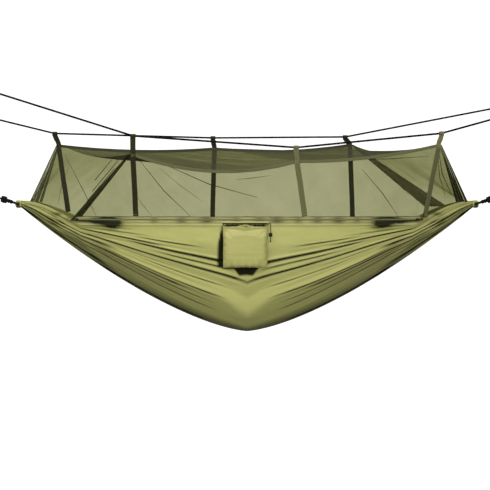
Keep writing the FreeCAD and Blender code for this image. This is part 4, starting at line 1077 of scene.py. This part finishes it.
def zip_coil(which, hand):
    """One row of the coil: a long line of hooked teeth on a cord core."""
    node = f"zip_{which}_coil"
    low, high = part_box(node)
    middle = -low.y - HALF_WIDTH - COIL_DEPTH / 2
    z_middle, half_z = (low.z + high.z) / 2, (high.z - low.z) / 2
    count = int(2 * high.x / TOOTH_PITCH)
    hook = np.array([(shift, y, z) for shift in (-0.35, 0.35) for z, y in TOOTH])
    hook = hook * [TOOTH_PITCH, COIL_DEPTH / 2, hand * half_z * 1.35]
    parts = []
    for spot in (np.arange(count) - (count - 1) / 2) * TOOTH_PITCH:
        centre = np.array([spot, -float(edge_y(spot, middle)), z_middle])
        out = unit(centre * [1, 1, 0] - [0, ARC_CENTRE, 0])
        along = np.array([-out[1], out[0], 0.0])
        points = centre - hook[:, :1] * along + hook[:, 1:2] * out - hook[:, 2:] * UP
        parts.append((points, TOOTH_FACES, points[:, [0, 2]]))
    x = np.linspace(-high.x, high.x, 300)
    core = edge_path(NEAR, x, middle, z_middle + hand * half_z * 0.1)[0]
    obj = merged(f"zip_teeth_{which}", *parts, tube(core, half_z * 0.95))
    finish_piece(obj, COIL, "zip_coil", node, smooth_shade=False)


def zip_flap():
    """The strip of cloth behind the zip."""
    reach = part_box("zip_lower_tape")[1].x
    x = np.linspace(-reach, reach, 240)
    path, out = edge_path(NEAR, x, 0.0018 + 0.0004 * wobble(x, 171, 40.0), EDGE_Z + 0.010)
    obj = merged("zip_draft_flap", ribbon(path, UP, out, 0.026, 0.0008))
    finish_piece(obj, HEM, "hammock_cloth")


def foot_seam():
    """The narrow dark binding along the foot of the net, over the zip."""
    low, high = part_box("zip_upper_tape")
    x = np.linspace(0.004 - high.x, high.x - 0.004, 400)
    stand_off = -low.y - HALF_WIDTH + 0.0006 + 0.0004 * wobble(x, 181, 70.0)
    z = high.z - 0.0012 + 0.0010 * wobble(x, 182, 18.0) + 0.0005 * wobble(x, 183, 90.0)
    part = tube(edge_path(NEAR, x, stand_off, z)[0], 0.0015 + 0.0004 * wobble(x, 184, 60.0))
    finish_piece(merged("net_foot_binding", part), BINDING, "binding_tape")


# ---------------------------------------------------------------- the pocket

POCKET_HINGE = np.array(joint("pocket_swing")["pos_m"])
POCKET_UP = np.array(joint("cord_lock_slide")["axis"], float)
POCKET_OUT = np.cross(X_AXIS, POCKET_UP)
POCKET_OUT *= -np.sign(POCKET_OUT[1])
POCKET_HALF = 0.109
POCKET_TALL = 0.220
POCKET_DEEP = 0.026
CLOTH_STEPS = 18


def pocket_point(u, w, d):
    """A place in the pocket's frame: u to the right, w down from the mouth, d out from its back."""
    u, w, d = (np.asarray(part, float)[..., None] for part in np.broadcast_arrays(u, w, d))
    return POCKET_HINGE + u * X_AXIS - w * POCKET_UP + d * POCKET_OUT


def pocket_sheet_mesh(size):
    """Front and back of the empty bag, joined along both sides and the bottom."""
    uu, ww = np.meshgrid(np.linspace(-1, 1, size), np.linspace(0, 1, size))
    puff = (1 - uu**4) * (1 - ww**6)
    u, w = uu * (POCKET_HALF - 0.003), 0.004 + ww * (POCKET_TALL - 0.008)
    front, back = pocket_point(u, w, 0.012 + 0.004 * puff), pocket_point(u, w, 0.010 - 0.004 * puff)
    index, verts, uvs = {}, [], []
    for layer, points in enumerate((front, back)):
        for i in range(size):
            for j in range(size):
                if layer == 1 and (j in (0, size - 1) or i == size - 1):
                    index[layer, i, j] = index[0, i, j]
                    continue
                index[layer, i, j] = len(verts)
                verts.append(points[i, j])
                uvs.append((uu[i, j] * POCKET_HALF, ww[i, j] * POCKET_TALL + layer * 0.3))
    faces = []
    for layer in (0, 1):
        for i in range(size - 1):
            for j in range(size - 1):
                corners = ((i, j), (i + 1, j), (i + 1, j + 1), (i, j + 1))
                quad = [index[(layer, *corner)] for corner in corners]
                faces.append(quad if layer == 0 else quad[::-1])
    mouth = {index[layer, i, j] for layer in (0, 1) for i in (0, 1) for j in range(size)}
    return np.array(verts), faces, np.array(uvs), sorted(mouth)


def puffed(obj, verts, held):
    """The bag's points after a short cloth simulation with inner pressure; the held ones stay."""
    obj.vertex_groups.new(name="held").add(held, 1.0, "REPLACE")
    cloth = obj.modifiers.new("cloth", "CLOTH")
    settings = cloth.settings
    settings.quality = 6
    settings.mass = 0.12
    settings.tension_stiffness = 30
    settings.compression_stiffness = 12
    settings.bending_stiffness = 0.08
    settings.vertex_group_mass = "held"
    settings.use_pressure = True
    settings.uniform_pressure_force = 1.6
    settings.effector_weights.gravity = 0
    cloth.collision_settings.use_collision = False
    for step in range(1, CLOTH_STEPS + 1):
        bpy.context.scene.frame_set(step)
    settled = obj.evaluated_get(bpy.context.evaluated_depsgraph_get()).to_mesh()
    move = np.array([v.co for v in settled.vertices], float) - verts
    obj.modifiers.clear()
    bpy.context.scene.frame_set(1)
    puff = np.clip(move @ POCKET_OUT, -0.010, 0.010)[:, None] * POCKET_OUT
    return verts + puff + 0.25 * (move - puff)


def pocket_bag():
    """The stuff sack that hangs from the near edge: two layers of cloth puffed up, then puckered."""
    verts, faces, uv, held = pocket_sheet_mesh(49)
    obj = mesh_object("pocket_cloth", verts, faces, uv)
    verts = puffed(obj, verts, held)
    local = verts - POCKET_HINGE
    u, w, d = local[:, 0], -local @ POCKET_UP, local @ POCKET_OUT
    aside, down = np.abs(u) / POCKET_HALF, w / POCKET_TALL
    edge_near = np.maximum(smooth(0.70, 1.0, aside), smooth(0.72, 1.0, down))
    along = np.where(down > aside, u, w)
    ruffle = wobble(along, 131, 190.0)
    is_front = d > 0.011
    d = d + (ruffle * 0.0022 + wobble(along, 132, 420.0) * 0.0012) * edge_near * np.where(is_front, 1, -1)
    u = u * (1 + 0.010 * wobble(w, 133, 55.0) * smooth(0.6, 1, aside))
    w = w + 0.0022 * wobble(u, 134, 120.0) * smooth(0.85, 1.0, down)
    mouth = smooth(0.030, 0.004, w)
    bunch = 0.013 * np.exp(-((u / 0.030) ** 2)) * is_front
    d = d + mouth * np.where(is_front, 0.004, -0.002) + bunch * smooth(0.045, 0.008, w) * 0.6
    w = w + mouth * (0.009 - 0.007 * np.exp(-((u / 0.028) ** 2))) * is_front
    w = w + mouth * (0.0016 * wobble(u, 135, 210.0)) * is_front
    verts = pocket_point(u, w, np.clip(d, 0.0012, POCKET_DEEP - 0.001))
    obj.data.vertices.foreach_set("co", verts.astype(np.float32).ravel())
    # Painted shade in the troughs of the puckers near the edges, and painted shadow under the mouth's casing
    # on the front.
    valley = np.clip(edge_near * (0.5 - 0.5 * ruffle), 0, 1) * 0.65
    shadow = 0.55 * smooth(0.022, 0.010, w) * np.clip(0.5 + 0.8 * wobble(u, 136, 130.0), 0, 1)
    point_values(obj.data, {"valley": valley, "shadow": shadow * is_front})
    obj.data.update()
    thicken(obj, 0.0008)
    detail = obj.modifiers.new("detail", "SUBSURF")
    detail.levels = detail.render_levels = 1
    finish_piece(obj, POCKET_CLOTH, "hammock_cloth", "pocket_bag", body="pocket")


def pocket_casing():
    """The ruffled tube round the mouth that the drawcord runs in."""
    u = np.linspace(-POCKET_HALF + 0.004, POCKET_HALF - 0.004, 220)
    dip = 0.0135 - 0.0115 * np.exp(-((u / 0.028) ** 2)) + 0.0012 * wobble(u, 141, 200.0)
    out = 0.017 + 0.005 * np.exp(-((u / 0.030) ** 2)) + 0.0012 * wobble(u, 142, 160.0)
    ruffle = wobble(u, 143, 330.0)
    front = tube(pocket_point(u, dip, np.minimum(out, 0.0215)), 0.0030 + 0.0009 * ruffle, 12)
    back = pocket_point(u, 0.0035 + 0.0006 * wobble(u, 144, 100.0), 0.0045)
    back = tube(back, 0.0024 + 0.0004 * wobble(u, 145, 300.0), 10)
    obj = merged("pocket_mouth_casing", front, back)
    # Painted shade between the ruffles of the front tube; no painted shadow.
    valley = np.zeros(len(obj.data.vertices))
    valley[: len(front[0])] = np.clip(0.7 - np.abs(np.repeat(ruffle, 12)), 0, 1) * 0.6
    point_values(obj.data, {"valley": valley, "shadow": 0 * valley})
    finish_piece(obj, POCKET_CLOTH, "hammock_cloth", body="pocket")


def pocket_mouth_shadow():
    """A sheet painted with shadow for the shaded inside of the mouth, seen between the casing and the back.
    """
    u, t = np.meshgrid(np.linspace(-POCKET_HALF + 0.006, POCKET_HALF - 0.006, 60), np.linspace(0, 1, 6))
    w = 0.003 + 0.015 * t + 0.001 * wobble(u, 151, 90.0)
    points = pocket_point(u, w, 0.0065 + 0.004 * t)
    ones = np.ones_like(u)
    values = {"valley": ones, "shadow": ones * 0.97}
    obj = grid_object("pocket_mouth_shadow", points, np.stack([u, w], axis=-1), values)
    finish_piece(obj, POCKET_CLOTH, "hammock_cloth", body="pocket")


def pocket_tape():
    """The folded tape that sews the pocket to the hammock."""
    node = "pocket_hanging_tape"
    low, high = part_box(node)
    x = np.linspace(low.x, high.x, 120)
    z = (low.z + high.z) / 2 + 0.0003 * wobble(x, 161, 80.0)
    y = (low.y + high.y) / 2 + 0.0002 * wobble(x, 162, 70.0)
    part = ribbon(columns_of(x, y, z), UP, (0, -1, 0), high.z - low.z, 0.0014)
    finish_piece(merged("pocket_tape", part), HEM, "hammock_cloth", node)


# ---------------------------------------------------------------- the ends

CHANNEL_TALL = 1.28
CHANNEL_BORE = 0.0058
END_CORD_RADIUS = 0.0044
END_CORD_SLOPE = math.radians(17)
# Distances out from the channel's middle along the cord: the knot's two ends and the eye's far end.
KNOT_START, KNOT_STOP, EYE_SEAT = 0.0605, 0.0915, 0.142


def channel_box(end):
    """Middle, half width and half depth of an end's CAD channel."""
    low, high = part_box(f"{END_NAME[end]}_end_channel")
    centre = np.array([(low.x + high.x) / 2, 0.0, (low.z + high.z) / 2])
    return centre, (high.y - low.y) / 2, (high.x - low.x) / 2


def end_channel(end):
    """The sewn sleeve at the gathered end: crowded pleats wrapped round the end cord."""
    centre, half, outer = channel_box(end)
    rows, columns = 131, 40
    turn = np.linspace(0, TAU, columns, endpoint=False)
    a, t = np.meshgrid(np.linspace(-1, 1, rows), turn, indexing="ij")
    pleat = np.abs(np.sin(a * 13.0 * math.pi + 0.4 * np.sin(3 * t)))
    swell = 0.80 + 0.20 * np.sqrt(np.clip(1 - a**4, 0, 1))
    radius = outer * swell * (0.90 + 0.12 * pleat) * (1 + 0.02 * np.sin(5 * t + 3 * a))
    squared = (np.abs(np.cos(t)) ** 3 + np.abs(np.sin(t)) ** 3) ** (-1 / 3)
    radius = np.minimum(radius, outer) * squared
    x, z = centre[0] + radius * np.cos(t), centre[2] + radius * np.sin(t) * CHANNEL_TALL
    verts = [columns_of(x, a * half, z).reshape(-1, 3)]
    faces = [list(q) for q in grid_faces(rows, columns, wrap=True)]
    bore_x, bore_z = centre[0] + CHANNEL_BORE * np.cos(turn), centre[2] + CHANNEL_BORE * np.sin(turn)
    first = rows * columns
    around = [(k, (k + 1) % columns) for k in range(columns)]
    for base, start, hand in ((0, first, -1.0), (first - columns, first + columns, 1.0)):
        verts.append(columns_of(bore_x, hand * half * 0.97, bore_z))
        quads = [[base + k, base + n, start + n, start + k] for k, n in around]
        faces += quads if hand > 0 else [quad[::-1] for quad in quads]
    faces += [[first + k, first + n, first + columns + n, first + columns + k] for k, n in around]
    uv = np.vstack([np.stack([a * half * 6, t * outer], axis=-1).reshape(-1, 2), np.zeros((2 * columns, 2))])
    # Real dark stitches along the outline, painted shade on the lower half and on the bore's ends, and
    # painted shade in the grooves between the pleats.
    stitches = 0.85 * (pleat < 0.45) * (np.abs(np.sin(t)) < 0.14)
    shadow = np.maximum(stitches, 0.9 * smooth(-0.45, -0.85, np.sin(t))).reshape(-1)
    values = {
        "valley": np.append(((1 - pleat) ** 2).reshape(-1), np.full(2 * columns, 0.9)),
        "shadow": np.append(shadow, np.full(2 * columns, 0.8)),
    }
    obj = mesh_object(f"{END_NAME[end]}_gathered_channel", np.vstack(verts), faces, uv, values)
    finish_piece(obj, CLOTH, "hammock_cloth", f"{END_NAME[end]}_end_channel")


def end_cord(end):
    """The end cord: through the channel, two strands twisted together, a wrapped knot and an eye."""
    centre, half, _ = channel_box(end)
    half += 0.0042
    radius, eye_half = END_CORD_RADIUS, 0.010
    out = np.array([end * math.cos(END_CORD_SLOPE), 0, math.sin(END_CORD_SLOPE)])
    aside = np.array([0.0, 1.0, 0.0])
    up = np.cross(out, aside)

    def ring(angle):
        return np.cos(angle)[:, None] * aside + np.sin(angle)[:, None] * up

    def at(run):
        return centre + out * np.asarray(run)[..., None]

    parts = []
    twist = np.linspace(0, 1, 22)
    for hand in (-1, 1):
        spots = [
            centre,
            centre + aside * hand * (half - 0.004),
            centre + out * 0.004 + aside * hand * half,
            centre + out * 0.0205 + aside * hand * (half - 0.004),
        ]
        angle = twist * math.pi * 2.5 + (0 if hand > 0 else math.pi)
        helix = at(0.033 + twist * (KNOT_START - 0.030)) + radius * 1.2 * ring(angle)
        parts.append(tube(rounded_path(np.vstack([spots, helix]), 110, 0.004), radius * 1.22, 10))
    turn = np.linspace(-0.5 * math.pi, 0.5 * math.pi, 24)
    bend = at(EYE_SEAT - eye_half + eye_half * np.cos(turn)) + aside * (eye_half * np.sin(turn))[:, None]
    legs = {}
    for hand in (-1, 1):
        leg = at(KNOT_STOP - 0.004) + aside * hand * 0.0043
        legs[hand] = [leg, leg + out * 0.008 + aside * hand * 0.003]
    eye = rounded_path(np.vstack([legs[-1], bend, legs[1][::-1]]), 120, 0.004)
    parts.append(tube(eye, radius, 10))
    coil = np.linspace(0, TAU * 5, 220)
    share = coil / coil[-1]
    swell = 0.0115 + 0.0022 * np.sin(math.pi * share)
    wrap = at(KNOT_START + 0.002 + share * (KNOT_STOP - KNOT_START - 0.004)) + swell[:, None] * ring(coil)
    parts.append(tube(wrap, radius * 0.92, 9))
    core = at(np.linspace(KNOT_START - 0.002, KNOT_STOP + 0.001, 14))
    core_radius = 0.0085 * np.sqrt(np.clip(1 - np.linspace(-0.97, 0.97, 14) ** 2, 0.06, 1))
    parts.append(tube(core, core_radius + 0.002, 12))
    name = END_NAME[end]
    finish_piece(merged(f"{name}_end_rope", *parts), BLACK_CORD, "black_cord", f"{name}_end_cord")


# ---------------------------------------------------------------- CAD nodes that stay

NODE_FINISHES = [
    (ALLOY, "carabiner_metal", ("carabiner_frame", "carabiner_gate")),
    (STEEL, "spring_steel", ("gate_pin", "gate_spring", "cord_lock_spring")),
    (ENAMEL, "zip_metal", ("zip_slider", "zip_pull", "zip_stop")),
    (LOCK, "lock_plastic", ("cord_lock_barrel", "cord_lock_button")),
    (DRAWCORD, "drawcord", ("pocket_drawcord",)),
]


def paint_nodes():
    """Finishes for the hard parts, whose CAD shapes are kept."""
    for name, node in frame["nodes"].items():
        for material, slot, keys in NODE_FINISHES:
            if any(key in name for key in keys):
                node.data.materials.clear()
                node.data.materials.append(material)


# ---------------------------------------------------------------- floor, light and camera

FLOOR_Z, FLOOR_GLOW, FLOOR_BOUNCE = -0.95, 0.73, 0.12
BACK_Y, FRONT_Y, BACKDROP_TOP, BACKDROP_HALF, BEND = 18.0, -22.0, 30.0, 40.0, 4.0
SKY_LOW, SKY_HIGH = 0.08, 0.75
LAMPS = [
    ("key", (-1.6, -3.6, 3.6), 3.0, 80.0),
    ("front", (0.4, -6.8, 0.35), 4.0, 345.0),
    ("top", (0.0, 0.4, 4.2), 4.0, 60.0),
]


def floor_material(name, colour):
    """A pale floor that looks bright but throws little light up at the hammock."""
    g = new_material(name)
    seen = g.add("LightPath").outputs["Is Camera Ray"]
    inputs = {"Base Color": g.mix(seen, shade(colour, FLOOR_BOUNCE), colour), "Roughness": 0.9}
    inputs.update({"Emission Color": (1.0, 1.0, 1.0), "Emission Strength": g.times(seen, FLOOR_GLOW)})
    return g.done(g.add("BsdfPrincipled", inputs).outputs[0])


def backdrop():
    """A pale floor that curves up into a wall behind the hammock."""
    profile = [(FRONT_Y, FLOOR_Z)]
    for angle in np.linspace(0, math.pi / 2, 13):
        profile.append((BACK_Y - BEND + BEND * math.sin(angle), FLOOR_Z + BEND * (1 - math.cos(angle))))
    profile.append((BACK_Y, BACKDROP_TOP))
    verts = [(x, y, z) for y, z in profile for x in (-BACKDROP_HALF, BACKDROP_HALF)]
    faces = [(k, k + 1, k + 3, k + 2) for k in range(0, len(verts) - 2, 2)]
    floor = mesh_object("studio_floor", verts, faces)
    floor.data.polygons.foreach_set("use_smooth", [True] * len(floor.data.polygons))
    floor.data.materials.append(floor_material("studio_floor", (0.93, 0.93, 0.93)))


def sky():
    """Soft light that grows with height; the camera sees plain white."""
    g = Graph(bpy.data.worlds.new("studio"), "ShaderNodeOutputWorld")
    height = g.split(g.add("TexCoord").outputs["Generated"])["Z"]
    seen = g.add("LightPath").outputs["Is Camera Ray"]
    strength = g.add("Mix", {"Factor": seen, "A": g.ramp(height, -0.3, 0.6, SKY_LOW, SKY_HIGH), "B": 1.0})
    light = {"Color": (1.0, 1.0, 1.0), "Strength": strength.outputs["Result"]}
    bpy.context.scene.world = g.done(g.add("Background", light).outputs[0])


def lamps_and_camera():
    """Broad soft lamps aimed at the hammock, and the camera."""
    scene = bpy.context.scene
    for name, spot, size, power in LAMPS:
        data = bpy.data.lights.new(name, "AREA")
        data.shape = "SQUARE"
        data.size = size
        data.energy = power
        lamp = bpy.data.objects.new(name, data)
        lamp.location = spot
        lamp.rotation_euler = (Vector((0, 0, 0.4)) - Vector(spot)).to_track_quat("-Z", "Y").to_euler()
        scene.collection.objects.link(lamp)
    camera = bpy.data.objects.new("camera", bpy.data.cameras.new("camera"))
    camera.data.angle = math.radians(17.25)
    camera.location = (-0.01, -8.0, 0.634)
    camera.rotation_euler = (math.radians(90 - 1.49), 0, 0)
    scene.collection.objects.link(camera)
    scene.camera = camera
    scene.view_settings.view_transform = "Standard"


# ---------------------------------------------------------------- build

sling()
for side in (NEAR, FAR):
    hem(side)
    side_net(side)
    top_tape(side)
    ridge_cord(side)
    for share, row in enumerate(STRAPS[side]):
        strap(side, share, row)
    bar_tacks(side)
roof_net()
for end in (LEFT, RIGHT):
    end_net(end)
    end_channel(end)
    end_cord(end)
gathers()
for which, hand in (("upper", 1), ("lower", -1)):
    zip_tape(which)
    zip_coil(which, hand)
zip_flap()
foot_seam()
pocket_bag()
pocket_casing()
pocket_mouth_shadow()
pocket_tape()
paint_nodes()
backdrop()
sky()
lamps_and_camera()
